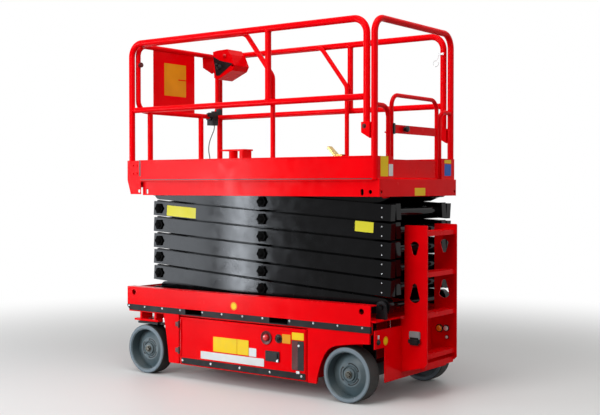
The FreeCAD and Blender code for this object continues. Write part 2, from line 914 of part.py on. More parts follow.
def ladder():
    """Two side plates with hand holes, and treads between them."""
    outline = [
        ("chassis_rear", "ladder_bottom"),
        ("ladder_rear + 20", "ladder_bottom + ladder_rise"),
        ("ladder_rear", "ladder_bottom + ladder_rise + 20"),
        ("ladder_rear", "ladder_top - ladder_corner"),
        (
            f"ladder_rear + {CORNER_DROP}",
            f"ladder_top - {CORNER_DROP}",
            "ladder_rear + ladder_corner",
            "ladder_top",
        ),
        ("ladder_upper_front - ladder_corner", "ladder_top"),
        (
            f"ladder_upper_front - {CORNER_DROP}",
            f"ladder_top - {CORNER_DROP}",
            "ladder_upper_front",
            "ladder_top - ladder_corner",
        ),
        ("ladder_upper_front", "floor_top - 20"),
        ("chassis_rear", "floor_top - 20"),
    ]
    low, high = "ladder_half_width - ladder_sheet", "ladder_half_width"
    side = plate("ladder_side", outline, low, high)
    holes = []
    middle = "(ladder_rear + hand_hole_inset)"
    for name, bottom, lower, upper, top, half_below, half_above in HAND_HOLES:
        outline = [
            (f"{middle} - {half_below}", f"ladder_top - {lower}"),
            (middle, f"ladder_top - {bottom}", f"{middle} + {half_below}", f"ladder_top - {lower}"),
            (f"{middle} + {half_above}", f"ladder_top - {upper}"),
            (middle, f"ladder_top - {top}", f"{middle} - {half_above}", f"ladder_top - {upper}"),
        ]
        holes.append(plate(f"{name}_hand_hole", outline, f"{low} - 1", f"{high} + 1"))
    cut_side = trim("ladder_side_cut", side, join("hand_holes", holes))
    pieces = both(cut_side)
    for step in range(4):
        top = f"tread_first + {step} * tread_spacing"
        pieces.append(
            block(
                f"tread_{step + 1}",
                ("ladder_rear + 14", "ladder_rear + 14 + tread_depth"),
                (f"-({low})", low),
                (f"{top} - tread_height", top),
            )
        )
    toe = ("ladder_bottom + ladder_rise - 16", "ladder_bottom + ladder_rise + 24")
    pieces.append(block("toe_bar", ("ladder_rear + 24", "ladder_rear + 60"), (f"-({low})", low), toe))
    node("ladder", join("ladder", pieces))


def top_nose(name, span):
    """The slimmer rear end of a top inner arm, which turns inside the platform's rear beam."""
    outline = [
        ("top_nose_length + 1", "-arm_depth / 2"),
        ("top_nose_length", "-arm_depth / 2"),
        ("0", "-top_nose_radius"),
        ("-top_nose_radius", "0", "0", "top_nose_radius"),
        ("top_nose_length", "arm_depth / 2"),
        ("top_nose_length + 1", "arm_depth / 2"),
    ]
    return plate(f"{name}_nose", outline, *span)


def arm_bars(name, inner_face, round_end=None):
    """A left and a right arm along +X from the rear pin, with square ends, or with one end round."""
    span = (inner_face, f"{inner_face} + arm_width")
    if round_end == "nose":
        bar_piece = block(
            f"{name}_bar",
            ("top_nose_length", "arm_pitch + arm_end"),
            span,
            ("-arm_depth / 2", "arm_depth / 2"),
        )
        return both(join(f"{name}_arm", [bar_piece, top_nose(name, span)]))
    start = "0" if round_end == "rear" else "-arm_end"
    finish = "arm_pitch" if round_end == "front" else "arm_pitch + arm_end"
    arm = block(f"{name}_bar", (start, finish), span, ("-arm_depth / 2", "arm_depth / 2"))
    if round_end:
        pin = "0" if round_end == "rear" else "arm_pitch"
        arm = join(f"{name}_arm", [arm, bar(f"{name}_round_end", "y", "arm_depth / 2", *span, (pin, "0"))])
    return both(arm)


def settle(thing, level, rising):
    """Turn an arm pair about its rear pin to the stowed angle, on its level."""
    pin = f"first_pin + level_rise * {level}"
    thing.Placement = FreeCAD.Placement(FreeCAD.Vector(), FreeCAD.Rotation(FreeCAD.Vector(0, 1, 0), 1))
    place(thing, "rear_pin", "0", pin)
    thing.setExpression("Placement.Rotation.Angle", bound(f"-{STOW_ANGLE}" if rising else STOW_ANGLE))


BASE_LEVELS = {"lower": 1, "upper": 4}
TOP_LEVELS = {name: level + 2 for name, level in BASE_LEVELS.items()}


def front_bars(name, radius, reach, parted):
    """The bar at the arms' front pins: right across, or a stub at each side where a rod swings through."""
    pin = ("arm_pitch", "0")
    if parted:
        return both(bar(name, "y", radius, "stub_start", reach, pin))
    return [bar(name, "y", radius, f"-({reach})", reach, pin)]


def outer_arms(level):
    """Outer arm pair, high at the front, with its two end shafts."""
    name = f"outer_{level}"
    pieces = arm_bars(name, "outer_arm", {1: "rear", LEVELS: "front"}.get(level))
    outer_face = "outer_arm + arm_width"
    rear_reach = "roller_inner - 5 + pivot_plate" if level == 1 else outer_face
    front_reach = "roller_outer" if level == LEVELS else outer_face
    pieces.append(bar(f"{name}_rear_shaft", "y", "pin_radius", f"-({rear_reach})", rear_reach, ("0", "0")))
    pieces += front_bars(f"{name}_front_shaft", "pin_radius", front_reach, level + 1 in TOP_LEVELS.values())
    centre_pin = bar(
        f"{name}_centre_pin",
        "y",
        "pin_radius",
        "inner_arm + 2",
        f"{outer_face} + pin_head",
        ("arm_pitch / 2", "0"),
    )
    pieces += both(centre_pin)
    if level == LEVELS:
        pieces += both(
            bar("top_roller", "y", "roller_radius", "roller_inner", "roller_outer", ("arm_pitch", "0"))
        )
    thing = join(name, pieces)
    settle(thing, level - 1, rising=True)
    node(f"outer_arms_{level}", thing)


def inner_arms(level):
    """Inner arm pair, high at the rear, with its two end tubes."""
    name = f"inner_{level}"
    pieces = arm_bars(name, "inner_arm", {1: "front", LEVELS: "nose"}.get(level))
    pieces.append(bar(f"{name}_rear_tube", "y", "cross_tube_radius", "-inner_arm", "inner_arm", ("0", "0")))
    pieces += front_bars(
        f"{name}_front_tube", "cross_tube_radius", "inner_arm", level in TOP_LEVELS.values()
    )
    if level in BASE_LEVELS.values():
        beam_x = "arm_pitch / 2 - cylinder_reach"
        pieces.append(
            bar(f"{name}_base_beam", "y", "cylinder_beam_radius", "-inner_arm", "inner_arm", (beam_x, "0"))
        )
    if level in TOP_LEVELS.values():
        beam_x = "arm_pitch / 2 + cylinder_reach"
        pieces.append(
            bar(
                f"{name}_top_beam",
                "y",
                "cylinder_beam_radius",
                "-inner_arm",
                "inner_arm",
                (beam_x, "rod_beam_offset"),
            )
        )
        ear_inner = "rod_eye_width / 2 + moving_gap"
        ear = block(
            f"{name}_ear",
            (f"{beam_x} - 26", f"{beam_x} + 26"),
            (ear_inner, f"{ear_inner} + ear_sheet"),
            ("-22", "rod_beam_offset"),
        )
        pieces += both(ear)
    bores = [("centre", "arm_pitch / 2")]
    if level == 1:
        pieces += both(
            bar("low_roller_stub", "y", "pin_radius", "inner_arm", "roller_outer", ("arm_pitch", "0"))
        )
        pieces += both(
            bar("low_roller", "y", "roller_radius", "roller_inner", "roller_outer", ("arm_pitch", "0"))
        )
    else:
        bores.append(("front", "arm_pitch"))
    if level == LEVELS:
        pieces += both(
            bar("top_pivot_stub", "y", "pin_radius", "inner_arm", "inner_arm + arm_width + 64", ("0", "0"))
        )
    else:
        bores.append(("rear", "0"))
    reach = "inner_arm + arm_width + 1"
    holes = [
        bar(
            f"{name}_{end}_bore", "y", "pin_radius + running_gap", f"-({reach})", reach, (x, "0")
        ) for end, x in bores
    ]
    thing = trim(name, join(f"{name}_solid", pieces), join(f"{name}_bores", holes))
    settle(thing, level, rising=False)
    node(f"inner_arms_{level}", thing)


def lift_cylinder(name):
    """Barrel on its base beam, and the rod, whose eye lies between the ears of the top beam."""
    rear_high = f"(first_pin + level_rise * {BASE_LEVELS[name]})"
    rear_high_top = f"(first_pin + level_rise * {TOP_LEVELS[name]})"
    base_x = f"(rear_pin + (arm_pitch / 2 - cylinder_reach) * cos({STOW_ANGLE}))"
    base_z = f"({rear_high} - (arm_pitch / 2 - cylinder_reach) * sin({STOW_ANGLE}))"
    top_x = f"(rear_pin + (arm_pitch / 2 + cylinder_reach) * cos({STOW_ANGLE}))"
    top_z = f"({rear_high_top} - (arm_pitch / 2 + cylinder_reach) * sin({STOW_ANGLE}))"
    length = f"sqrt(({top_x} - {base_x})^2 + ({top_z} - {base_z})^2)"
    slope = f"atan(({top_z} - {base_z}) / ({top_x} - {base_x}))"
    half_eye = "cylinder_eye_width / 2"
    barrel = [
        bar(
            f"{name}_tube",
            "x",
            "cylinder_radius",
            "cylinder_eye_radius - 12",
            "cylinder_length",
            ("0", "0"),
        ),
        bar(f"{name}_base_eye", "y", "cylinder_eye_radius", f"-{half_eye}", half_eye, ("0", "0")),
    ]
    barrel_holes = [
        bar(
            f"{name}_base_bore",
            "y",
            "cylinder_beam_radius + running_gap",
            f"-{half_eye} - 30",
            f"{half_eye} + 30",
            ("0", "0"),
        ),
        bar(
            f"{name}_rod_bore",
            "x",
            "rod_radius + running_gap",
            "rod_start - 10",
            "cylinder_length + 5",
            ("0", "0"),
        ),
    ]
    half_rod_eye = "rod_eye_width / 2"
    rod = [
        bar(f"{name}_rod_bar", "x", "rod_radius", "rod_start", length, ("0", "0")),
        bar(f"{name}_rod_eye", "y", "rod_eye_radius", f"-{half_rod_eye}", half_rod_eye, (length, "0")),
    ]
    pieces = {
        f"{name}_barrel": trim(
            f"{name}_barrel",
            join(f"{name}_barrel_solid", barrel),
            join(f"{name}_barrel_bores", barrel_holes),
        ),
        f"{name}_rod": join(f"{name}_rod", rod),
    }
    for label, thing in pieces.items():
        thing.Placement = FreeCAD.Placement(FreeCAD.Vector(), FreeCAD.Rotation(FreeCAD.Vector(0, 1, 0), 1))
        place(thing, base_x, "0", base_z)
        thing.setExpression("Placement.Rotation.Angle", bound(f"-{slope}"))
        node(label, thing)


DECK_TOP = "deck_bottom + deck_sheet"
TOE_INNER = "half_width - toe_sheet"
BEAM_FACE = "(half_width - beam_inset)"
CROSS_BOTTOM = "deck_bottom - cross_sheet"
CROSS_MEMBERS = 5


def toe_board():
    """Toe board along one side, round the rear corner and up to the gate post."""
    outline = [("beam_front", "half_width"), ("platform_rear + toe_corner", "half_width")]
    sheet_inner = "toe_corner - toe_sheet"
    corners = {}
    for name, reach in (("outer", "toe_corner"), ("inner", f"({sheet_inner})")):
        centre = ("platform_rear + toe_corner", "half_width - toe_corner")
        corners[name] = [
            (centre[0], f"{centre[1]} + {reach}"),
            (f"{centre[0]} - {reach} * cos(45)", f"{centre[1]} + {reach} * sin(45)"),
            (f"{centre[0]} - {reach}", centre[1]),
        ]
    height = number("beam_top")
    start, rear = ("beam_front", "half_width"), ("platform_rear", "gate_opening")
    inner_start, inner_rear = ("beam_front", TOE_INNER), ("platform_rear + toe_sheet", "gate_opening")
    runs = [
        [start, corners["outer"][0]],
        corners["outer"],
        [corners["outer"][2], rear],
        [rear, inner_rear],
        [inner_rear, corners["inner"][2]],
        corners["inner"][::-1],
        [corners["inner"][0], inner_start],
        [inner_start, start],
    ]
    edges = []
    for run in runs:
        points = [FreeCAD.Vector(number(x), number(y), height) for x, y in run]
        edges.append(
            Part.Arc(*points).toShape() if len(points) == 3 else Part.LineSegment(*points).toShape()
        )
    face = Part.Face(Part.Wire(edges))
    return shaped("toe_board", face.extrude(FreeCAD.Vector(0, 0, number("toe_top - beam_top"))))


def platform_frame():
    """Side beams, toe boards, front brackets, upper roller tracks and the rear pivots."""
    length = ("beam_rear", "beam_front")
    track_low = f"{TOP_PIN} + roller_radius + seat_gap"
    bracket = [
        ("beam_front - 1", "beam_bottom + 7"),
        ("platform_front - 36", "beam_bottom + 7"),
        ("platform_front", "beam_top"),
        ("platform_front", "toe_top"),
        ("beam_front - 1", "toe_top"),
    ]
    pivot_y = ("outer_arm + 8", "outer_arm + 8 + pivot_plate * 2")
    side = [
        block("beam_web", length, (f"{BEAM_FACE} - beam_sheet", BEAM_FACE), ("beam_bottom", "beam_top")),
        block(
            "beam_low_flange",
            length,
            ("half_width - beam_flange", BEAM_FACE),
            ("beam_bottom", "beam_bottom + beam_sheet"),
        ),
        block(
            "beam_top_flange",
            length,
            ("slide_deck_half_width + deck_clearance", BEAM_FACE),
            (CROSS_BOTTOM, "beam_top"),
        ),
        block(
            "toe_lip",
            ("platform_rear", "beam_front"),
            (f"{BEAM_FACE} - 1", "half_width"),
            ("beam_top - beam_end_sheet", "beam_top"),
        ),
        toe_board(),
        plate("front_bracket", bracket, TOE_INNER, "half_width"),
        block(
            "front_post_seat",
            ("beam_front - 1", "platform_front - 1"),
            ("slide_deck_half_width + deck_clearance", "half_width - 1"),
            ("beam_top - post_seat_sheet", "beam_top"),
        ),
        block(
            "upper_track",
            ("track_rear", "track_front"),
            ("roller_inner", "roller_outer + 2"),
            (track_low, "deck_bottom"),
        ),
        block("top_pivot_plate", ("rear_pin - 32", "rear_pin + 38"), pivot_y, (TOP_PIN, "deck_bottom")),
        bar("top_pivot_boss", "y", "pin_radius + 12", *pivot_y, ("rear_pin", TOP_PIN)),
    ]
    pieces = []
    for piece in side:
        pieces += both(piece)
    wide = (f"-{BEAM_FACE}", BEAM_FACE)
    under_deck = (CROSS_BOTTOM, "deck_bottom")
    for index in range(CROSS_MEMBERS):
        x = f"cross_first + {index} * cross_spacing"
        pieces.append(block(f"cross_{index}", (x, f"{x} + cross_width"), wide, under_deck))
    rear_face = block(
        "rear_beam_face", ("beam_rear", "beam_rear + beam_end_sheet"), wide, ("beam_bottom", "beam_top")
    )
    hole_span = ("beam_rear - 1", "beam_rear + beam_end_sheet + 1")
    face_hole = bar(
        "rear_face_hole",
        "x",
        "face_hole_radius",
        *hole_span,
        ("half_width - face_hole_inset", "beam_bottom + hole_rise"),
    )
    cover_depth = ("beam_rear", "platform_rear + beam_sheet")
    pieces += [
        trim("pierced_rear_face", rear_face, group("rear_face_holes", both(face_hole))),
        block("rear_beam_cover", cover_depth, wide, ("beam_top - beam_end_sheet", "beam_top")),
        block(
            "rear_beam_web",
            ("platform_rear", "platform_rear + beam_sheet"),
            wide,
            (CROSS_BOTTOM, "beam_top"),
        ),
    ]
    holes = [
        bar(
            "top_pivot_hole",
            "y",
            "pin_radius + running_gap",
            "-roller_inner",
            "roller_inner",
            ("rear_pin", TOP_PIN),
        ),
    ]
    web_span = (f"{BEAM_FACE} - beam_sheet - 1", "half_width + 1")
    low, high = "(beam_bottom + slot_low)", "(beam_bottom + slot_high)"
    for name, x, round_x in (
        ("front", "(beam_front - slot_inset)", "beam_front + bracket_hole_inset"),
        ("rear", "(platform_rear + rear_slot_inset)", "platform_rear + rear_hole_inset"),
    ):
        slot = [
            (f"{x} - slot_radius", low),
            (x, f"{low} - slot_radius", f"{x} + slot_radius", low),
            (f"{x} + slot_radius", high),
            (x, f"{high} + slot_radius", f"{x} - slot_radius", high),
        ]
        holes += both(plate(f"{name}_slot", slot, *web_span))
        holes += both(
            bar(
                f"{name}_round_hole",
                "y",
                "web_hole_radius",
                *web_span,
                (round_x, "beam_bottom + hole_rise"),
            )
        )
    node(
        "platform_frame",
        trim("platform_frame", join("platform_solid", pieces), join("platform_holes", holes)),
    )
    node(
        "main_deck",
        block(
            "main_deck",
            ("platform_rear + 8", "beam_front"),
            ("-slide_deck_half_width - 5", "slide_deck_half_width + 5"),
            ("deck_bottom", DECK_TOP),
        ),
    )


def guardrail(side, sign):
    """One side's guardrail: the bent rail, mid rail, middle post and the bracket of its fold."""
    y = "guard_middle"
    bracket_front = "rear_post + fold_reach"
    bracket_rear = "end_frame + guard_radius - 1 + seat_gap"
    bracket_top = "fold_height + fold_bracket"
    fold_bracket = [
        (bracket_rear, "fold_height"),
        (bracket_front, "fold_height + fold_chamfer"),
        (bracket_front, bracket_top),
        (bracket_rear, bracket_top),
    ]
    pieces = [
        pipe(
            f"{side}_loop",
            [
                ("rear_post", y, "fold_height + fold_chamfer + 5"),
                ("rear_post", y, "top_rail"),
                ("front_post", y, "top_rail"),
                ("front_post", y, "beam_top"),
            ],
            "guard_radius",
            "guard_bend",
        ),
        bar(f"{side}_mid_rail", "x", "guard_radius - 2", "rear_post", "front_post", (y, "mid_rail")),
        bar(f"{side}_middle_post", "z", "guard_radius - 1", "mid_rail", "top_rail", ("middle_post", y)),
        plate(f"{side}_fold_bracket", fold_bracket, f"{y} - fold_half_width", f"{y} + fold_half_width"),
    ]
    handed(f"{side}_guardrail", join(f"{side}_guardrail_solid", pieces), sign)


GATE_HINGES = ("gate_bottom + 60", "gate_plate_low + 10")


def rear_guard():
    """Frame over the entrance, with a shoulder rail down to each gate post."""
    x = "end_frame"
    post = "gate_opening + gate_post_radius"
    corner = "guard_middle"
    pieces = [
        pipe(
            "entrance_frame",
            [
                (x, corner, "beam_top"),
                (x, corner, "top_rail"),
                (x, f"-{corner}", "top_rail"),
                (x, f"-{corner}", "beam_top"),
            ],
            "guard_radius - 1",
            "guard_bend",
        )
    ]
    shoulder = pipe(
        "shoulder_rail",
        [(x, corner, "shoulder_height"), (x, post, "shoulder_height"), (x, post, DECK_TOP)],
        "gate_post_radius",
        "gate_bend",
    )
    pieces += both(shoulder)
    for index, height in enumerate(GATE_HINGES):
        pieces.append(
            block(
                f"gate_lug_{index}",
                (x, f"{x} + gate_hinge_out + gate_hinge_radius"),
                ("gate_opening - gate_gap + 1", post),
                (f"{height} - 10 - seat_gap", f"{height} - seat_gap"),
            )
        )
    node("rear_guard", join("rear_guard", pieces))


def gate():
    """Entrance gate on hinges at the left gate post."""
    x = "end_frame"
    half = "(gate_opening - gate_gap - gate_tube_radius)"
    frame = [
        pipe(
            "gate_tube",
            [
                (x, half, "gate_bottom"),
                (x, half, "gate_top"),
                (x, f"-{half}", "gate_top"),
                (x, f"-{half}", "gate_bottom"),
            ],
            "gate_tube_radius",
            "gate_bend",
        ),
        block("kick_plate", (f"{x} - 4", f"{x} + 4"), (f"-{half}", half), ("gate_bottom", "kick_top")),
        block(
            "latch_plate",
            (f"{x} - 5", f"{x} + 5"),
            (f"-{half}", half),
            ("gate_plate_low", "gate_plate_high"),
        ),
    ]
    hinge_y = "gate_opening - gate_gap / 2"
    for index, height in enumerate(GATE_HINGES):
        rise = (height, f"{height} + 40")
        frame.append(
            bar(f"gate_hinge_{index}", "z", "gate_hinge_radius", *rise, (f"{x} + gate_hinge_out", hinge_y))
        )
        frame.append(block(f"gate_hinge_web_{index}", (x, f"{x} + gate_hinge_out"), (half, hinge_y), rise))
    node("gate", join("gate", frame))


SLIDE_TOP = f"({DECK_TOP} + slide_deck_gap + slide_deck_sheet)"
# The control lead's way from the clamp under the front loop down to its gland: x, y, z
LEAD_ROUTE = [
    (1190, -411, "clamp_low - seat_gap"),
    (1190, -411, 1960),
    (1188, -378, 1912),
    (1184, -334, 1839),
    (1178, -320, 1771),
    (1172, -328, 1715),
    (1167, -335, 1660),
    (1162, -330, 1602),
    (1162, -330, f"{SLIDE_TOP} + gland_height + seat_gap"),
]


def slide_out_deck():
    """Deck plate and front toe board that slide out over the main deck."""
    half = "slide_deck_half_width"
    plate_low = f"{DECK_TOP} + slide_deck_gap"
    runner = block(
        "deck_runner",
        ("slide_deck_rear", "platform_front - 10"),
        ("runner_middle - runner_width / 2", "runner_middle + runner_width / 2"),
        (f"{DECK_TOP} + seat_gap", plate_low),
    )
    pieces = [
        block(
            "deck_plate", ("slide_deck_rear", "platform_front"), (f"-{half}", half), (plate_low, SLIDE_TOP)
        ),
        block(
            "front_toe",
            ("platform_front - toe_sheet", "platform_front"),
            (f"-{half}", half),
            ("beam_bottom + 60", "toe_top"),
        ),
        block(
            "front_toe_lip",
            ("slide_guard_front - 24", "platform_front"),
            (f"-{half}", half),
            ("toe_top - toe_sheet", "toe_top"),
        ),
    ]
    lead_end = LEAD_ROUTE[-1]
    gland = bar("lead_gland", "z", "gland_radius", SLIDE_TOP, f"{SLIDE_TOP} + gland_height", lead_end[:2])
    node("slide_out_deck", join("slide_out_deck", pieces + both(runner) + [gland]))


def slide_out_guard():
    """Closed loop over the front toe board, its posts, the document plate and side rails with sloped ends."""
    x, y = "slide_guard_front", "slide_guard_middle"
    low, high = "mid_rail", "top_rail - 6"
    loop = pipe(
        "front_loop",
        [(x, "0", high), (x, y, high), (x, y, low), (x, f"-{y}", low), (x, f"-{y}", high), (x, "0", high)],
        "slide_guard_radius",
        "slide_guard_bend",
    )
    pieces = [loop]
    for name, place_y in (("left", "slide_post_left"), ("right", "slide_post_right")):
        pieces.append(bar(f"slide_post_{name}", "z", "slide_post_radius", "toe_top", low, (x, place_y)))
    bend_end = f"{y} - slide_guard_bend - 10"
    side = [
        pipe(
            "slide_top_rail",
            [
                ("slide_guard_rear", y, SLIDE_TOP),
                ("slide_guard_rear", y, "slide_guard_knee"),
                ("slide_guard_rear + slide_guard_slope", y, high),
                (x, y, high),
                (x, bend_end, high),
            ],
            "slide_guard_radius - 2",
            "slide_guard_bend",
        ),
        pipe(
            "slide_mid_rail",
            [("slide_guard_rear", y, low), (x, y, low), (x, bend_end, low)],
            "slide_guard_radius - 2",
            "slide_guard_bend",
        ),
    ]
    for piece in side:
        pieces += both(piece)
    pieces.append(
        block(
            "document_plate", (f"{x} - document_sheet", x), ("document_right", "document_left"), (low, high)
        )
    )
    # Corners of the gusset: how far in from the side rail, how far below the top rail
    gusset = [(193, 0), (187, 106), (71, 147), (6, 115), (6, 45), (45, 0)]
    corners = [
        FreeCAD.Vector(number(x), number(f"{inset} - {y}"), number(f"{high} - {drop}"))
        for inset, drop in gusset
    ]
    face = Part.Face(Part.makePolygon(corners + corners[:1]))
    pieces.append(shaped("corner_gusset", face.extrude(FreeCAD.Vector(-number("document_sheet"), 0, 0))))
    node("slide_out_guard", join("slide_out_guard", pieces))


def deck_fittings():
    """The deck lock's post and plate, the lock's pedal, and the control lead with its clamp."""
    lock_side = "-slide_guard_middle + moving_gap"
    across = (lock_side, f"{lock_side} + lock_width")
    under = "lock_top - lock_sheet"
    lock = [
        block("lock_plate", ("lock_rear", "lock_front"), across, (under, "lock_top")),
        block("lock_leg_bar", ("lock_leg", "lock_leg + lock_leg_width"), across, (SLIDE_TOP, under)),
        bar(
            "lock_post_bar",
            "z",
            "lock_post_radius",
            SLIDE_TOP,
            under,
            ("lock_post", f"{lock_side} + lock_width / 2"),
        ),
    ]
    node("deck_lock", join("deck_lock", lock))
    pedal_foot = "slide_guard_rear + slide_guard_radius - 2 + seat_gap"
    pedal_tip = f"{pedal_foot} + pedal_length"
    pedal_side = "-slide_guard_middle - pedal_reach"
    lever = [
        (pedal_foot, "pedal_low"),
        (f"{pedal_foot} + pedal_length / 2", "pedal_low"),
        (pedal_tip, "pedal_high - pedal_sheet"),
        (f"{pedal_tip} - 8", "pedal_high"),
        (f"{pedal_foot} + pedal_length / 2 - 8", "pedal_low + pedal_sheet"),
        (pedal_foot, "pedal_low + pedal_sheet"),
    ]
    node("release_pedal", plate("release_pedal", lever, pedal_side, f"{pedal_side} + pedal_width"))
    clamp_top = "mid_rail - slide_guard_radius - seat_gap"
    clamp_side = "-slide_guard_middle + clamp_inset"
    clamp_across = (clamp_side, f"{clamp_side} + clamp_width")
    node(
        "lead_clamp",
        block("lead_clamp", ("clamp_rear", "clamp_front"), clamp_across, ("clamp_low", clamp_top)),
    )
    node("control_lead", pipe("control_lead", LEAD_ROUTE, "lead_radius"))


def control_box():
    """Control box with a sloped front face and underside, hung on the right rail of the slide-out deck."""
    outline = [
        ("box_front", "box_high - 12"),
        ("box_front - 47", "box_high - 4"),
        ("box_rear + 80", "box_high"),
        ("box_rear + 40", "box_high - 48"),
        ("box_rear", "box_high - 139"),
        ("box_rear + 23", "box_high - 180"),
        ("box_front - 50", "box_low"),
        ("box_front - 14", "box_low + 16"),
    ]
    on_rail = "-slide_guard_middle + slide_guard_radius - 2 + seat_gap"
    node("control_box", plate("control_box", outline, on_rail, f"{on_rail} + box_width"))


end_plates()
chassis_floor()
side_rails()
stack_seats()
bumper_strips()
side_panels()
equipment_trays()
front_axle()
steering()
rear_axle()
for side, sign in SIDES.items():
    knuckle(side, sign)
    door(side, sign)
for name, x, sign in WHEELS:
    wheel(name, x, sign)
ladder()
for level in range(1, LEVELS + 1):
    outer_arms(level)
    inner_arms(level)
for name in BASE_LEVELS:
    lift_cylinder(name)
platform_frame()
for side, sign in SIDES.items():
    guardrail(side, sign)
rear_guard()
gate()
slide_out_deck()
slide_out_guard()
deck_fittings()
control_box()

doc.recompute()
faults = [thing.Label for thing in doc.Objects if {"Invalid", "Error"} & set(thing.State)]
faults += [thing.Label for thing in nodes if thing.Shape.isNull() or not thing.Shape.isValid()]
if faults:
    raise RuntimeError("These did not build: " + ", ".join(faults))

os.makedirs("parts", exist_ok=True)
for thing in nodes:
    thing.Shape.exportStep(f"parts/{thing.Label}.step")
print(len(nodes), "sub-parts,", round(sum(thing.Shape.Volume for thing in nodes) / 1e9, 4), "cubic metres")
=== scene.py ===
# %% [markdown]
# # A stowed scissor lift, dressed
# The construction model brings every frame, arm, wheel and rail at its real size. This script gives them their
# finishes, adds the small things that a fitter would add last, and sets a camera, a floor and soft lamps.

# %% Load the construction model
import json
import math

import bmesh
import bpy
from mathutils import Matrix, Vector


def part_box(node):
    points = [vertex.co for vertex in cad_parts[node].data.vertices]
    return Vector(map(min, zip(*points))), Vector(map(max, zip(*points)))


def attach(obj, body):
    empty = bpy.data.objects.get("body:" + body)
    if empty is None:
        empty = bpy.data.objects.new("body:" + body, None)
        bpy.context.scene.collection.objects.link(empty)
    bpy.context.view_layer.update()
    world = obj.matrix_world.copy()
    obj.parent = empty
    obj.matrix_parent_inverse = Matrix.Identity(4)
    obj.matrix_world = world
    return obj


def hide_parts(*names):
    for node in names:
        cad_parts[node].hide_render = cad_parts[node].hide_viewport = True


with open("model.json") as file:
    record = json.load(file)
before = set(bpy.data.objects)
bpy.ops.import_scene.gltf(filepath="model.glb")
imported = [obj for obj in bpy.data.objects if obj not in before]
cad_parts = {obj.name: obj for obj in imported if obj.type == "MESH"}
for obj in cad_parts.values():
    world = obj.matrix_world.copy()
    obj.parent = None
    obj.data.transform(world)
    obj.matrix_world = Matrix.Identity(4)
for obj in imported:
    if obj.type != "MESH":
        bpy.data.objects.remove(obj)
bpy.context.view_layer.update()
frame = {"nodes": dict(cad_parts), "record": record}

scene = bpy.context.scene

# %% [markdown]
# ## The camera
# The camera stands behind the machine's left rear corner, at the height of a person's chest. Its place, its turn and
# its lens were found from edges that are square to each other on the real machine.

# %% Camera
IMAGE_WIDTH = 600
FOCAL_PIXELS = 1024.85
SENSOR_WIDTH = 36.0
EYE = Vector((-4.6735, 6.2979, 1.4697))
YAW, PITCH = math.radians(-53.61), math.radians(-1.21)

camera_data = bpy.data.cameras.new("camera")
camera_data.sensor_width = SENSOR_WIDTH
camera_data.lens = FOCAL_PIXELS / IMAGE_WIDTH * SENSOR_WIDTH
camera = bpy.data.objects.new("camera", camera_data)
look = Vector((math.cos(PITCH) * math.cos(YAW), math.cos(PITCH) * math.sin(YAW), math.sin(PITCH)))
camera.matrix_world = Matrix.Translation(EYE) @ look.to_track_quat("-Z", "Y").to_matrix().to_4x4()
scene.collection.objects.link(camera)
scene.camera = camera
scene.view_settings.view_transform = "Standard"
print("lens", round(camera_data.lens, 1), "mm")

# %% [markdown]
# ## Node helpers
# A material is a small graph. `put` adds one node, and takes either a number or another node's socket for each of
# its inputs, so that a graph reads from top to bottom like a recipe.

# %% Node helpers
def put(tree, kind, inputs=None, **settings):
    """Add a node, set its options, and link or set its inputs."""
    node = tree.nodes.new(kind)
    for key, value in settings.items():
        setattr(node, key, value)
    for key, value in (inputs or {}).items():
        if isinstance(value, bpy.types.NodeSocket):
            tree.links.new(value, node.inputs[key])
        else:
            node.inputs[key].default_value = value
    return node


def calculate(tree, operation, first, second=0.0, clamp=False):
    """A Math node's result."""
    node = put(tree, "ShaderNodeMath", {0: first, 1: second}, operation=operation)
    node.use_clamp = clamp
    return node.outputs[0]


def ramp(tree, value, low, high, to_low=0.0, to_high=1.0):
    """A value mapped smoothly from one range to another."""
    inputs = {"Value": value, "From Min": low, "From Max": high, "To Min": to_low, "To Max": to_high}
    return put(tree, "ShaderNodeMapRange", inputs, interpolation_type="SMOOTHSTEP").outputs["Result"]


def blend(tree, share, first, second):
    """A colour mixed from two colours."""
    node = put(tree, "ShaderNodeMix", {"Factor": share}, data_type="RGBA")
    for socket, value in ((node.inputs[6], first), (node.inputs[7], second)):
        if isinstance(value, bpy.types.NodeSocket):
            tree.links.new(value, socket)
        else:
            socket.default_value = (*value, 1.0)
    return node.outputs[2]


def new_group(name, inputs, outputs):
    """An empty shader group with named float or vector inputs, and outputs."""
    group = bpy.data.node_groups.new(name, "ShaderNodeTree")
    for label, kind, value in inputs:
        socket = group.interface.new_socket(label, in_out="INPUT", socket_type=kind)
        if value is not None:
            socket.default_value = value
    for label, kind in outputs:
        group.interface.new_socket(label, in_out="OUTPUT", socket_type=kind)
    return group, group.nodes.new("NodeGroupInput").outputs, group.nodes.new("NodeGroupOutput")


# %% [markdown]
# ## Shared effects
# Paint, rubber and steel all age in the same few ways: the tone drifts over a panel, fingers and cloths leave faint
# smudges, dust settles low down and on ledges, and sheet edges are rolled rather than sharp. Each of these is one
# group, built once and used with different values.

# %% Surface drift
drift, drift_in, drift_out = new_group(
    "surface drift",
    [("Patch Size", "NodeSocketFloat", 0.4), ("Grain Size", "NodeSocketFloat", 0.004)],
    [("Patch", "NodeSocketFloat"), ("Smudge", "NodeSocketFloat"), ("Grain", "NodeSocketFloat")],
)
where = put(drift, "ShaderNodeTexCoord").outputs["Object"]
patch_scale = calculate(drift, "DIVIDE", 1.0, drift_in["Patch Size"])
grain_scale = calculate(drift, "DIVIDE", 1.0, drift_in["Grain Size"])
smudge_scale = calculate(drift, "MULTIPLY", patch_scale, 5.0)
for output, scale, detail in (("Patch", patch_scale, 3.0), ("Smudge", smudge_scale, 6.0), ("Grain", grain_scale, 2.0)):
    noise = put(drift, "ShaderNodeTexNoise", {"Vector": where, "Scale": scale, "Detail": detail, "Roughness": 0.55})
    drift.links.new(noise.outputs["Fac"], drift_out.inputs[output])

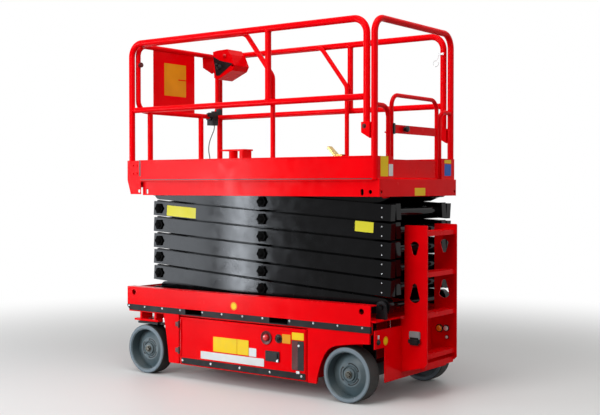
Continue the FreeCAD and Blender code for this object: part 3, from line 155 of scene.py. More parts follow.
# %% Settled dust
dust, dust_in, dust_out = new_group(
    "settled dust",
    [("Reach", "NodeSocketFloat", 0.7), ("Ledges", "NodeSocketFloat", 0.3)],
    [("Mask", "NodeSocketFloat")],
)
geometry = put(dust, "ShaderNodeNewGeometry")
where = put(dust, "ShaderNodeTexCoord").outputs["Object"]
height = put(dust, "ShaderNodeSeparateXYZ", {"Vector": where}).outputs["Z"]
facing_up = put(dust, "ShaderNodeSeparateXYZ", {"Vector": geometry.outputs["Normal"]}).outputs["Z"]
cloud = put(dust, "ShaderNodeTexNoise", {"Vector": where, "Scale": 7.0, "Detail": 7.0, "Roughness": 0.6}).outputs["Fac"]
low_down = ramp(dust, calculate(dust, "DIVIDE", height, dust_in["Reach"]), 0.0, 1.0, 1.0, 0.0)
on_ledge = calculate(dust, "MULTIPLY", ramp(dust, facing_up, 0.6, 1.0), dust_in["Ledges"])
broken = ramp(dust, cloud, 0.38, 0.72)
amount = calculate(dust, "MULTIPLY", calculate(dust, "ADD", calculate(dust, "MULTIPLY", low_down, 0.55), on_ledge), broken)
dust.links.new(calculate(dust, "MINIMUM", amount, 1.0), dust_out.inputs["Mask"])

# %% Rolled edge
edge, edge_in, edge_out = new_group(
    "rolled edge",
    [("Radius", "NodeSocketFloat", 0.002), ("Chip Size", "NodeSocketFloat", 0.012)],
    [("Normal", "NodeSocketVector"), ("Worn", "NodeSocketFloat")],
)
rounded = put(edge, "ShaderNodeBevel", {"Radius": edge_in["Radius"]}, samples=3).outputs["Normal"]
true_normal = put(edge, "ShaderNodeNewGeometry").outputs["Normal"]
lean = put(edge, "ShaderNodeVectorMath", {0: rounded, 1: true_normal}, operation="DOT_PRODUCT").outputs["Value"]
where = put(edge, "ShaderNodeTexCoord").outputs["Object"]
chip_scale = calculate(edge, "DIVIDE", 1.0, edge_in["Chip Size"])
chips = put(edge, "ShaderNodeTexNoise", {"Vector": where, "Scale": chip_scale, "Detail": 5.0}).outputs["Fac"]
on_edge = ramp(edge, lean, 0.985, 0.86)
edge.links.new(rounded, edge_out.inputs["Normal"])
edge.links.new(calculate(edge, "MULTIPLY", on_edge, ramp(edge, chips, 0.58, 0.70)), edge_out.inputs["Worn"])
print("effects:", ", ".join(group.name for group in bpy.data.node_groups))

# %% [markdown]
# ## Finishes
# One function makes every coated or moulded finish. What differs is written as named values: the colour, how rough
# and how bright the lacquer is, how far dust climbs, and what shows where an edge is worn.

# %% Finish maker
DUST_COLOUR = (0.36, 0.33, 0.29)


def use(tree, group, **values):
    """Place a shared effect in a material with its own values."""
    node = tree.nodes.new("ShaderNodeGroup")
    node.node_tree = group
    for key, value in values.items():
        node.inputs[key.replace("_", " ").title()].default_value = value
    return node


def finish(name, colour, rough=0.35, spread=0.08, coat=0.0, metal=0.0, tone=0.12, dust_reach=0.5, ledges=0.2,
           patch=0.4, grain=0.003, grain_depth=0.0002, edge_radius=0.0015, worn=None, dusty=1.0, specular=0.4):
    """A coated, moulded or machined finish, with drift, dust and rolled edges."""
    material = bpy.data.materials.new(name)
    material.use_nodes = True
    tree = material.node_tree
    shader = tree.nodes["Principled BSDF"]
    skin = use(tree, drift, patch_size=patch, grain_size=grain)
    rim = use(tree, edge, radius=edge_radius)
    settled = use(tree, dust, reach=dust_reach, ledges=ledges)
    darker = tuple(part * (1 - tone) for part in colour)
    lighter = tuple(min(1.0, part * (1 + tone)) for part in colour)
    base = blend(tree, ramp(tree, skin.outputs["Patch"], 0.3, 0.7), darker, lighter)
    if worn:
        base = blend(tree, rim.outputs["Worn"], base, worn)
    dust_share = calculate(tree, "MULTIPLY", settled.outputs["Mask"], 0.5 * dusty)
    base = blend(tree, dust_share, base, DUST_COLOUR)
    smudged = ramp(tree, skin.outputs["Smudge"], 0.3, 0.75, rough - spread, rough + spread)
    roughness = calculate(tree, "ADD", smudged, calculate(tree, "MULTIPLY", dust_share, 0.6), clamp=True)
    height = put(tree, "ShaderNodeBump", {"Height": skin.outputs["Grain"], "Distance": grain_depth, "Strength": 0.4,
                                          "Normal": rim.outputs["Normal"]})
    tree.links.new(base, shader.inputs["Base Color"])
    tree.links.new(roughness, shader.inputs["Roughness"])
    tree.links.new(height.outputs["Normal"], shader.inputs["Normal"])
    shader.inputs["Metallic"].default_value = metal
    shader.inputs["Coat Weight"].default_value = coat
    shader.inputs["Coat Roughness"].default_value = 0.06
    shader.inputs["Specular IOR Level"].default_value = specular
    return material


# %% Paints, rubbers, metals and plastics
RED = (0.86, 0.0, 0.003)
BLACK = (0.003, 0.003, 0.0035)

red_paint = finish("red powder coat", RED, rough=0.22, tone=0.06, dust_reach=0.35, ledges=0.02,
                   grain=0.0035, grain_depth=0.0002, edge_radius=0.003, worn=(0.30, 0.0, 0.0), dusty=0.10, specular=0.035)
arm_paint = finish("black arm paint", BLACK, rough=0.12, spread=0.03, tone=0.3, dust_reach=0.4, ledges=0.02,
                   grain=0.006, grain_depth=0.00015, edge_radius=0.002, dusty=0.0, specular=0.09)
nut_paint = finish("black nut paint", (0.0015, 0.0015, 0.0015), rough=0.5, tone=0.1, dusty=0.0,
                   worn=(0.003, 0.003, 0.003), specular=0.015)
dark_paint = finish("black running gear paint", (0.006, 0.006, 0.007), rough=0.42, tone=0.3, dust_reach=0.7, ledges=0.2,
                    dusty=0.4, specular=0.15)
strip_rubber = finish("bumper rubber", (0.006, 0.006, 0.007), rough=0.50, tone=0.25, dust_reach=1.0, ledges=0.1,
                      grain=0.002, grain_depth=0.0004, dusty=0.15, specular=0.15)
rod_steel = finish("polished rod", (0.72, 0.73, 0.75), rough=0.12, metal=1.0, tone=0.05, ledges=0.05)
zinc = finish("zinc plated steel", (0.55, 0.56, 0.57), rough=0.28, metal=1.0, tone=0.12, ledges=0.1, grain=0.001)
gold_zinc = finish("yellow passivated steel", (0.60, 0.40, 0.12), rough=0.30, metal=0.85, tone=0.2, ledges=0.1)
black_plastic = finish("black moulded plastic", (0.008, 0.008, 0.009), rough=0.40, tone=0.2, grain=0.0012, dusty=0.3,
                       specular=0.2)
battery_case = finish("battery case", (0.05, 0.05, 0.055), rough=0.5, tone=0.2, ledges=0.5)
grey_paint = finish("grey unit paint", (0.25, 0.26, 0.27), rough=0.4, tone=0.15, ledges=0.4)
yellow_film = finish("yellow film", (0.88, 0.58, 0.01), rough=0.35, tone=0.05, grain_depth=0.00005, specular=0.1)
lemon_film = finish("lemon film", (0.72, 0.66, 0.03), rough=0.35, tone=0.05, grain_depth=0.00005, specular=0.1)
orange_film = finish("orange film", (0.78, 0.32, 0.01), rough=0.4, tone=0.10, grain_depth=0.00005, specular=0.1)
white_film = finish("white film", (0.72, 0.73, 0.73), rough=0.35, tone=0.04, grain_depth=0.00005, specular=0.2)
blue_film = finish("blue film", (0.02, 0.12, 0.50), rough=0.35, tone=0.06, grain_depth=0.00005, specular=0.1)
hub_metal = finish("weathered hub nut", (0.10, 0.10, 0.085), rough=0.35, metal=0.8, tone=0.3, ledges=0.1)
dull_zinc = finish("dull zinc", (0.42, 0.43, 0.44), rough=0.38, metal=1.0, tone=0.12, ledges=0.1, grain=0.001)
amber_lens = finish("amber lens", (0.95, 0.36, 0.01), rough=0.12, tone=0.05, dusty=0.0, coat=0.3)
clear_lens = finish("clear lens", (0.93, 0.93, 0.88), rough=0.10, tone=0.02, dusty=0.0, coat=0.4)
red_plastic = finish("red push cap", (0.62, 0.004, 0.006), rough=0.22, coat=0.3)
# A dark red plastic for knobs, hinges and bolts. It also serves as painted shade in the ground controls' recesses and
# as the painted shadow line along the toe boards' foot.
dark_red_plastic_and_shade = finish("dark red plastic and painted shade", (0.07, 0.001, 0.002), rough=0.35, tone=0.2, specular=0.3)
print(len(bpy.data.materials), "finishes")

# %% [markdown]
# ## Tyres and rims
# These two follow a pattern of their own. The tyre is a solid, non-marking one in blue grey: its rings run round
# the axle, so its bump reads the distance from that axle. The rim is painted grey.

# %% Tyre and rim finishes
WHEELS = {name: Vector(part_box(f"tyre_{name}")[0]).lerp(Vector(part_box(f"tyre_{name}")[1]), 0.5)
          for name in ("front_left", "front_right", "rear_left", "rear_right")}


SHADED_TREAD = (0.012, 0.012, 0.011)
SIDEWALL_EDGE = 0.185


def wheel_finish(kind, axle, colour, ring_spacing, ring_depth, rough):
    """A finish whose rings run round a wheel's own axle, with painted shade darkening the tread beyond the sidewall's
    edge.
    """
    material = finish(f"{kind} {axle.x:.2f} {axle.y:.2f}", colour, rough=rough, tone=0.10, dust_reach=0.4, dusty=0.7)
    tree = material.node_tree
    where = put(tree, "ShaderNodeTexCoord").outputs["Object"]
    centred = put(tree, "ShaderNodeMapping", {"Vector": where, "Location": (-axle.x, 0.0, -axle.z), "Scale": (1, 0, 1)})
    distance = put(tree, "ShaderNodeVectorMath", {0: centred.outputs["Vector"]}, operation="LENGTH").outputs["Value"]
    turns = calculate(tree, "MULTIPLY", distance, math.tau / ring_spacing)
    rings = calculate(tree, "POWER", calculate(tree, "ABSOLUTE", calculate(tree, "SINE", turns)), 6.0)
    shader = tree.nodes["Principled BSDF"]
    # Beyond the sidewall's edge the colour turns near black: painted shade on the tread, which faces away from the
    # lamps.
    tread_shade = ramp(tree, distance, SIDEWALL_EDGE, SIDEWALL_EDGE + 0.003)
    tree.links.new(blend(tree, tread_shade, shader.inputs["Base Color"].links[0].from_socket, SHADED_TREAD), shader.inputs["Base Color"])
    bump = put(tree, "ShaderNodeBump", {"Height": rings, "Distance": ring_depth, "Strength": 0.6,
                                        "Normal": shader.inputs["Normal"].links[0].from_socket})
    tree.links.new(bump.outputs["Normal"], shader.inputs["Normal"])
    return material


tyre_finish = {name: wheel_finish("tyre", axle, (0.17, 0.215, 0.25), 0.036, 0.0006, 0.62) for name, axle in WHEELS.items()}
rim_finish = {name: wheel_finish("rim", axle, (0.078, 0.115, 0.132), 0.05, 0.0002, 0.42) for name, axle in WHEELS.items()}

# %% [markdown]
# ## Dressing the construction pieces
# A construction piece keeps its mesh. Only the finish in its slots changes.

# %% Dress
def dress(node_name, material):
    """Give every slot of a construction piece one finish."""
    mesh = frame["nodes"][node_name].data
    if not mesh.materials:
        mesh.materials.append(material)
    for index in range(len(mesh.materials)):
        mesh.materials[index] = material


FINISH_OF_SLOT = {
    "red_paint": red_paint, "black_paint": arm_paint, "black_rubber": strip_rubber, "chrome_rod": rod_steel,
    "deck_plate": grey_paint, "battery_case": battery_case, "grey_metal": grey_paint, "black_plastic": black_plastic,
    "gold_plating": gold_zinc,
}
for part in frame["record"]["subparts"]:
    if part["material_slot"] in FINISH_OF_SLOT:
        dress(part["node"], FINISH_OF_SLOT[part["material_slot"]])
for name in WHEELS:
    dress(f"tyre_{name}", tyre_finish[name])
    dress(f"rim_{name}", rim_finish[name])
for name in ("rear_axle", "steering_cylinder", "knuckle_left", "knuckle_right", "stack_seats", "fork_pockets"):
    dress(name, dark_paint)

# %% [markdown]
# ## Floor and light
# A plain pale floor carries the shadow and fades to white. Large soft lamps stand where a hall's roof lights would be,
# and two upright ones stand like windows, so that the black arms show long pale streaks. The world is a plain grey for
# light and white behind the machine.

# %% Floor
floor_mesh = bmesh.new()
bmesh.ops.create_grid(floor_mesh, x_segments=1, y_segments=1, size=40.0)
floor_data = bpy.data.meshes.new("floor")
floor_mesh.to_mesh(floor_data)
floor_mesh.free()
floor = bpy.data.objects.new("floor", floor_data)
scene.collection.objects.link(floor)
floor_material = bpy.data.materials.new("pale floor")
floor_material.use_nodes = True
floor_shader = floor_material.node_tree.nodes["Principled BSDF"]
FLOOR_SEEN, FLOOR_BOUNCE = (0.74, 0.74, 0.73), (0.16, 0.16, 0.15)
floor_shader.inputs["Roughness"].default_value = 0.55
floor_tree = floor_material.node_tree
floor_place = put(floor_tree, "ShaderNodeTexCoord").outputs["Object"]
from_machine = put(floor_tree, "ShaderNodeVectorMath", {0: floor_place}, operation="LENGTH").outputs["Value"]
floor_path = put(floor_tree, "ShaderNodeLightPath")
looked_at = calculate(floor_tree, "MAXIMUM", floor_path.outputs["Is Camera Ray"], floor_path.outputs["Is Glossy Ray"])
looked_at = calculate(floor_tree, "MAXIMUM", looked_at, floor_path.outputs["Is Transmission Ray"])
shade = blend(floor_tree, looked_at, FLOOR_BOUNCE, FLOOR_SEEN)
floor_tree.links.new(shade, floor_shader.inputs["Base Color"])
FADE_START, FADE_END = 2.2, 6.5
fade = calculate(floor_tree, "MULTIPLY", ramp(floor_tree, from_machine, FADE_START, FADE_END), looked_at)
white = put(floor_tree, "ShaderNodeEmission", {"Color": (1.0, 1.0, 1.0, 1.0), "Strength": 1.0})
faded = put(floor_tree, "ShaderNodeMixShader", {0: fade, 1: floor_shader.outputs[0], 2: white.outputs[0]})
floor_tree.links.new(faded.outputs[0], floor_tree.nodes["Material Output"].inputs["Surface"])
floor_data.materials.append(floor_material)

# %% World
world = bpy.data.worlds.new("hall")
scene.world = world
world.use_nodes = True
world_tree = world.node_tree
backdrop = world_tree.nodes["Background"]
backdrop.inputs["Color"].default_value = (1.0, 1.0, 1.0, 1.0)
path = put(world_tree, "ShaderNodeLightPath")
seen = calculate(world_tree, "MAXIMUM", path.outputs["Is Camera Ray"], path.outputs["Is Glossy Ray"])
seen = calculate(world_tree, "MAXIMUM", seen, path.outputs["Is Transmission Ray"])
AMBIENT = 0.22
strength = calculate(world_tree, "ADD", calculate(world_tree, "MULTIPLY", seen, 1.0 - AMBIENT), AMBIENT)
world_tree.links.new(strength, backdrop.inputs["Strength"])

# %% Lamps
LAMPS = [
    # Name, place, aim, width, height, power
    ("roof", (-1.0, 2.0, 6.5), (0.0, 0.0, 1.2), 5.0, 5.0, 210.0),
    ("left", (0.2, 7.5, 4.0), (0.0, 0.0, 1.2), 4.0, 4.0, 270.0),
    ("rear", (-7.0, -1.0, 3.5), (0.0, 0.0, 1.2), 3.5, 3.5, 85.0),
    ("wide window", (5.2, 5.0, 1.1), (0.9, 0.4, 1.0), 1.0, 2.4, 96.0),
    ("narrow window", (4.0, 5.0, 0.9), (0.3, 0.4, 0.9), 0.35, 1.9, 110.0),
]
WINDOW_LIGHT = (0.86, 0.92, 1.0)
for name, place, aim, width, height, power in LAMPS:
    lamp_data = bpy.data.lights.new(name, "AREA")
    lamp_data.shape = "RECTANGLE"
    lamp_data.size, lamp_data.size_y = width, height
    lamp_data.energy = power
    lamp_data.color = WINDOW_LIGHT if "window" in name else (1.0, 1.0, 1.0)
    lamp = bpy.data.objects.new(name, lamp_data)
    direction = Vector(aim) - Vector(place)
    lamp.matrix_world = Matrix.Translation(place) @ direction.to_track_quat("-Z", "Y").to_matrix().to_4x4()
    scene.collection.objects.link(lamp)
print(len(LAMPS), "lamps")

# %% [markdown]
# ## Mesh helpers
# Every added piece is drawn in its real place with a few bmesh helpers, and then made an object that rides on one body
# of the machine.

# %% Mesh helpers
def piece(name, mesh, body, material, smooth=35.0):
    """Make a drawn mesh an object with one finish, riding on a body."""
    data = bpy.data.meshes.new(name)
    bmesh.ops.recalc_face_normals(mesh, faces=mesh.faces)
    mesh.to_mesh(data)
    mesh.free()
    data.shade_smooth()
    data.set_sharp_from_angle(angle=math.radians(smooth))
    data.materials.append(material)
    thing = bpy.data.objects.new(name, data)
    scene.collection.objects.link(thing)
    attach(thing, body)
    return thing


def frame_of(direction):
    """Two directions square to a given one."""
    direction = Vector(direction).normalized()
    side = direction.orthogonal().normalized()
    return direction, side, direction.cross(side)


def add_prism(mesh, outline, offset):
    """A closed solid between an outline of points and its copy moved by an offset."""
    low = [mesh.verts.new(point) for point in outline]
    high = [mesh.verts.new(Vector(point) + Vector(offset)) for point in outline]
    mesh.faces.new(low[::-1])
    mesh.faces.new(high)
    count = len(outline)
    for i in range(count):
        mesh.faces.new((low[i], low[(i + 1) % count], high[(i + 1) % count], high[i]))


def add_block(mesh, low, high):
    """A rectangular block between two corners."""
    (x0, y0, z0), (x1, y1, z1) = low, high
    add_prism(mesh, [(x0, y0, z0), (x1, y0, z0), (x1, y1, z0), (x0, y1, z0)], (0, 0, z1 - z0))


def add_turned(mesh, base, direction, profile, sides=24, ring_only=False):
    """A solid turned about a direction, from (distance along, radius) entries. A ring closes on itself, with no ends."""
    direction, side, other = frame_of(direction)
    base = Vector(base)
    rings = []
    for along, radius in profile:
        ring = []
        for i in range(sides):
            turn = math.tau * i / sides
            spoke = side * math.cos(turn) + other * math.sin(turn)
            ring.append(mesh.verts.new(base + direction * along + spoke * radius))
        rings.append(ring)
    following = rings[1:] + rings[:1] if ring_only else rings[1:]
    for low, high in zip(rings, following):
        for i in range(sides):
            mesh.faces.new((low[i], low[(i + 1) % sides], high[(i + 1) % sides], high[i]))
    if not ring_only:
        mesh.faces.new(rings[0][::-1])
        mesh.faces.new(rings[-1])


def add_plaque(mesh, centre, across, up, width, height, thickness, corner=0.006):
    """A thin plate with round corners, whose back lies at its centre's place."""
    across, up = Vector(across).normalized(), Vector(up).normalized()
    outward = across.cross(up)
    outline = []
    for sign_x, sign_y, start in ((1, 1, 0), (-1, 1, 90), (-1, -1, 180), (1, -1, 270)):
        middle = Vector(centre) + across * sign_x * (width / 2 - corner) + up * sign_y * (height / 2 - corner)
        for step in range(4):
            turn = math.radians(start + 30 * step)
            outline.append(middle + (across * math.cos(turn) + up * math.sin(turn)) * corner)
    add_prism(mesh, outline, outward * thickness)


print("helpers ready")

# %% [markdown]
# ## Fasteners
# Bolts hold the strips, the doors' trims and the brackets. One small Geometry Nodes tree draws a washer and a
# chamfered hexagon head at every point that it is given, and turns it to the point's own direction.

# %% Tree helpers
def tree_with(name, inputs):
    """A Geometry Nodes tree with a geometry input, named inputs and a geometry output."""
    tree = bpy.data.node_groups.new(name, "GeometryNodeTree")
    tree.interface.new_socket("Geometry", in_out="INPUT", socket_type="NodeSocketGeometry")
    for label, kind, value in inputs:
        socket = tree.interface.new_socket(label, in_out="INPUT", socket_type=kind)
        if value is not None:
            socket.default_value = value
    tree.interface.new_socket("Geometry", in_out="OUTPUT", socket_type="NodeSocketGeometry")
    return tree, tree.nodes.new("NodeGroupInput").outputs, tree.nodes.new("NodeGroupOutput")


def join_geometry(tree, *parts):
    """Several geometries as one."""
    node = tree.nodes.new("GeometryNodeJoinGeometry")
    for part in parts:
        tree.links.new(part, node.inputs[0])
    return node.outputs[0]


def close_tree(tree, geometry, material, output):
    """End a tree in plain geometry with its finish."""
    real = put(tree, "GeometryNodeRealizeInstances", {"Geometry": geometry}).outputs[0]
    painted = put(tree, "GeometryNodeSetMaterial", {"Geometry": real, "Material": material}).outputs[0]
    tree.links.new(painted, output.inputs[0])


def lift_up(tree, geometry, height):
    """A geometry moved along its own Z."""
    up = put(tree, "ShaderNodeCombineXYZ", {"Z": height}).outputs[0]
    return put(tree, "GeometryNodeTransform", {"Geometry": geometry, "Translation": up}).outputs[0]


def own_direction(tree):
    """The rotation that turns Z to a point's own direction."""
    facing = put(tree, "GeometryNodeInputNamedAttribute", {"Name": "facing"}, data_type="FLOAT_VECTOR").outputs[0]
    return put(tree, "FunctionNodeAlignRotationToVector", {"Vector": facing}, axis="Z").outputs[0]


def grow(name, points, tree, body, **values):
    """Run a tree on points with facing directions, and keep its result as a plain mesh on one body."""
    data = bpy.data.meshes.new(name)
    data.from_pydata([place for place, facing in points], [], [])
    facings = data.attributes.new("facing", "FLOAT_VECTOR", "POINT")
    for index, (place, facing) in enumerate(points):
        facings.data[index].vector = facing
    thing = bpy.data.objects.new(name, data)
    scene.collection.objects.link(thing)
    modifier = thing.modifiers.new(name, "NODES")
    modifier.node_group = tree
    for item in tree.interface.items_tree:
        if item.item_type == "SOCKET" and item.in_out == "INPUT" and item.name in values:
            modifier[item.identifier] = values[item.name]
    result = bpy.data.meshes.new_from_object(thing.evaluated_get(bpy.context.evaluated_depsgraph_get()))
    thing.modifiers.clear()
    thing.data = result
    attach(thing, body)
    return thing


# %% Bolt tree
bolt_tree, bolt_in, bolt_out = tree_with(
    "bolt heads",
    [("Head Radius", "NodeSocketFloat", 0.007), ("Head Height", "NodeSocketFloat", 0.005),
     ("Washer Radius", "NodeSocketFloat", 0.010), ("Material", "NodeSocketMaterial", None)],
)
WASHER = 0.0016
washer = put(bolt_tree, "GeometryNodeMeshCylinder", {"Vertices": 14, "Radius": bolt_in["Washer Radius"], "Depth": WASHER})
washer = lift_up(bolt_tree, washer.outputs["Mesh"], WASHER / 2)
flats = calculate(bolt_tree, "MULTIPLY", bolt_in["Head Height"], 0.75)
hexagon = put(bolt_tree, "GeometryNodeMeshCylinder", {"Vertices": 6, "Radius": bolt_in["Head Radius"], "Depth": flats})
half_flats = calculate(bolt_tree, "MULTIPLY", flats, 0.5)
hexagon = lift_up(bolt_tree, hexagon.outputs["Mesh"], calculate(bolt_tree, "ADD", half_flats, WASHER))
narrow = calculate(bolt_tree, "MULTIPLY", bolt_in["Head Radius"], 0.78)
rest = calculate(bolt_tree, "MULTIPLY", bolt_in["Head Height"], 0.25)
chamfer = put(bolt_tree, "GeometryNodeMeshCone",
              {"Vertices": 6, "Radius Top": narrow, "Radius Bottom": bolt_in["Head Radius"], "Depth": rest})
chamfer = lift_up(bolt_tree, chamfer.outputs["Mesh"], calculate(bolt_tree, "ADD", flats, WASHER))
bolt = join_geometry(bolt_tree, washer, hexagon, chamfer)
placed = put(bolt_tree, "GeometryNodeInstanceOnPoints",
             {"Points": bolt_in["Geometry"], "Instance": bolt, "Rotation": own_direction(bolt_tree)})
close_tree(bolt_tree, placed.outputs[0], bolt_in["Material"], bolt_out)


def bolts(name, body, places, facing, radius=0.007, material=zinc):
    """Bolt heads at places, all facing one way."""
    return grow(name, [(place, facing) for place in places], bolt_tree, body,
                **{"Head Radius": radius, "Head Height": radius * 0.75, "Washer Radius": radius * 1.45,
                   "Material": material})


# %% [markdown]
# ## Chassis trim
# The rubber strips are bolted through from outside, in a line just under the rail. Each wheel has a ridge, dark arcs
# that paint the shade in its stamped slots, and a castle nut in its dish. The ladder's cheek and the rear plate hold
# the lamps.

# %% Chassis bolts
STRIP_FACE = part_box("bumper_strips")[1][1]
STRIP_BOLTS = (1.240, 1.067, 0.879, 0.690, 0.464, 0.272, 0.074, -0.113, -0.354, -0.560, -0.763, -0.962)
STRIP_BOLT_HEIGHT = 0.521
REAR_PLATE = -1.060
for side, sign in (("left", 1), ("right", -1)):
    outward = (0, sign, 0)
    places = [(x, sign * STRIP_FACE, STRIP_BOLT_HEIGHT) for x in STRIP_BOLTS]
    bolts(f"strip_bolts_{side}", "chassis", places, outward, 0.005, dull_zinc)
print(2 * len(STRIP_BOLTS), "strip bolts")

# %% Wheel nuts and hub caps
RIM_FACE, RIM_DISH, HUB_FACE, TYRE_FACE = 0.0635, 0.048, 0.0335, 0.0638
GROOVE_RADIUS, GROOVE_REACH, GROOVE_END_RADIUS = 0.074, 38, 0.070


def add_arc(mesh, centre, outward, radius, half_width, start, finish, thickness, steps=14):
    """A thin strip along part of a circle on a wheel's disc, angles in degrees."""
    turns = [math.radians(start + (finish - start) * i / steps) for i in range(steps + 1)]
    edge_points = [(radius + half_width, turn) for turn in turns] + [(radius - half_width, turn) for turn in turns[::-1]]
    outline = [Vector(centre) + Vector((math.cos(turn) * reach, 0, math.sin(turn) * reach)) for reach, turn in edge_points]
    add_prism(mesh, outline, Vector(outward) * thickness)


for name, axle in WHEELS.items():
    outward = Vector((0, math.copysign(1, axle.y), 0))
    disc = axle + outward * (RIM_FACE - RIM_DISH)
    slot_shades, ridge, castle = bmesh.new(), bmesh.new(), bmesh.new()
    # The black arcs and their round ends are painted shade, standing for the stamped slots in the disc.
    for index in range(3):
        middle = 120 * index
        ends = (middle - GROOVE_REACH, middle + GROOVE_REACH)
        add_arc(slot_shades, disc - outward * 0.0005, outward, GROOVE_RADIUS, 0.0035, *ends, 0.0012)
        for end in ends:
            turn = math.radians(end)
            spot = disc + Vector((math.cos(turn), 0, math.sin(turn))) * GROOVE_END_RADIUS
            add_turned(slot_shades, spot - outward * 0.0005, outward, [(0, 0.0055), (0.0014, 0.0055)], 10)
    piece(f"disc_slot_shades_{name}", slot_shades, f"wheel_{name}", black_plastic)
    profile = [(0, 0.062), (0.006, 0.060), (0.009, 0.056), (0.006, 0.052), (0, 0.050)]
    add_turned(ridge, disc, outward, profile, 40, True)
    piece(f"disc_ridge_{name}", ridge, f"wheel_{name}", rim_finish[name])
    hub = axle + outward * HUB_FACE
    add_turned(castle, hub, outward, [(0, 0.026), (0.003, 0.026), (0.004, 0.019)], 24)
    for index in range(6):
        turn = math.tau * index / 6
        side, lift = Vector((math.cos(turn), 0, math.sin(turn))), Vector((-math.sin(turn), 0, math.cos(turn)))
        corners = ((0.009, -0.004), (0.019, -0.007), (0.019, 0.007), (0.009, 0.004))
        outline = [hub + side * reach + lift * half for reach, half in corners]
        add_prism(castle, outline, outward * 0.016)
    add_turned(castle, hub, outward, [(0.002, 0.009), (0.013, 0.009), (0.015, 0.006)], 16)
    piece(f"castle_nut_{name}", castle, f"wheel_{name}", hub_metal)
    groove = bmesh.new()
    tread_out = axle + outward * TYRE_FACE
    for inner, outer in ((0.166, 0.168), (0.180, 0.183)):
        profile = [(0, outer), (0.0025, outer - 0.001), (0.0025, inner + 0.001), (0.0, inner)]
        add_turned(groove, tread_out - outward * 0.002, outward, profile, 64, True)
    piece(f"tyre_ribs_{name}", groove, f"wheel_{name}", tyre_finish[name])

# %% Rear lamps and charging inlet
def lamp(name, centre, radius, lens, outward=(0, 1, 0)):
    """A round lamp: a dark rim and a domed lens."""
    rim_mesh, lens_mesh = bmesh.new(), bmesh.new()
    rim_profile = [(0, radius), (0.006, radius), (0.010, radius * 0.9), (0.010, radius * 0.84), (0.004, radius * 0.80)]
    lens_profile = [(0.004, radius * 0.82), (0.010, radius * 0.78), (0.015, radius * 0.55), (0.017, radius * 0.15)]
    add_turned(rim_mesh, centre, outward, rim_profile)
    add_turned(lens_mesh, centre, outward, lens_profile)
    piece(f"{name}_rim", rim_mesh, "chassis", black_plastic)
    piece(f"{name}_lens", lens_mesh, "chassis", lens)


CHEEK_INNER = -0.205
lamp("amber_lamp", (-1.126, CHEEK_INNER, 0.449), 0.029, amber_lens)
lamp("white_lamp", (-1.180, CHEEK_INNER, 0.453), 0.024, clear_lens)
lamp("small_lamp", (-1.186, CHEEK_INNER, 0.390), 0.014, clear_lens)
lamp("left_lamp", (REAR_PLATE, 0.520, 0.428), 0.018, black_plastic, (-1, 0, 0))
tag = bmesh.new()
add_plaque(tag, (REAR_PLATE, 0.516, 0.462), (0, -1, 0), (0, 0, 1), 0.018, 0.026, 0.003, 0.003)
piece("lamp_tag", tag, "chassis", white_film)

INLET_FACE = 0.215
inlet, cover = bmesh.new(), bmesh.new()
add_block(inlet, (-1.210, INLET_FACE, 0.424), (-1.126, INLET_FACE + 0.016, 0.476))
bmesh.ops.bevel(inlet, geom=inlet.edges[:], offset=0.004, segments=2, affect="EDGES")
piece("charge_inlet", inlet, "chassis", grey_paint)
add_block(cover, (-1.214, INLET_FACE, 0.383), (-1.122, INLET_FACE + 0.034, 0.436))
bmesh.ops.bevel(cover, geom=cover.edges[:], offset=0.014, segments=4, affect="EDGES")
piece("charge_cover", cover, "chassis", black_plastic)

# %% [markdown]
# ## Doors
# The left door carries the controls for use from the ground: a stop button, a key switch, a black socket, and a row of
# plain film labels. A black strip is bolted along its foot. The right door repeats the strip and has louvres.

# %% Door trim
DOOR_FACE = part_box("left_door")[1][1]


def plaques(name, body, face, axis, entries, material, thickness=0.0006):
    """Film labels on a face. An entry is (low along, high along, low height, high height)."""
    mesh = bmesh.new()
    for low, high, bottom, top in entries:
        along, height = (low + high) / 2, (bottom + top) / 2
        if axis == "y":
            centre, across = (along, face, height), (-math.copysign(1, face), 0, 0)
        else:
            centre, across = (face, along, height), (0, -1, 0)
        add_plaque(mesh, centre, across, (0, 0, 1), abs(high - low), top - bottom, thickness, 0.004)
    return piece(name, mesh, body, material)


DOOR_FOLDS = (((-0.494, 0.452), (0.688, 0.466)), ((-0.494, 0.170), (-0.484, 0.452)), ((0.678, 0.170), (0.688, 0.452)))
for side, sign in (("left", 1), ("right", -1)):
    body, face = f"{side}_door", sign * DOOR_FACE
    strip = bmesh.new()
    add_plaque(strip, (0.0915, face, 0.1395), (-sign, 0, 0), (0, 0, 1), 1.167, 0.045, 0.004, 0.004)
    piece(f"{side}_door_strip", strip, body, strip_rubber)
    places = [(x, face + sign * 0.004, 0.142) for x in (0.664, 0.379, 0.099, -0.180, -0.460)]
    bolts(f"{side}_door_bolts", body, places, (0, sign, 0), 0.006)
    frame_mesh = bmesh.new()
    for low, high in DOOR_FOLDS:
        middle = ((low[0] + high[0]) / 2, face, (low[1] + high[1]) / 2)
        add_plaque(frame_mesh, middle, (-sign, 0, 0), (0, 0, 1), high[0] - low[0], high[1] - low[1], 0.0025, 0.003)
    piece(f"{side}_door_fold", frame_mesh, body, red_paint)
    hinges = bmesh.new()
    for height in (0.214, 0.413):
        add_block(hinges, (0.700, face - sign * 0.004, height - 0.016), (0.738, face + sign * 0.005, height + 0.016))
        add_turned(hinges, (0.702, face + sign * 0.004, height - 0.026), (0, 0, 1), [(0, 0.009), (0.052, 0.009)], 16)
    piece(f"{side}_door_hinges", hinges, body, dark_red_plastic_and_shade)

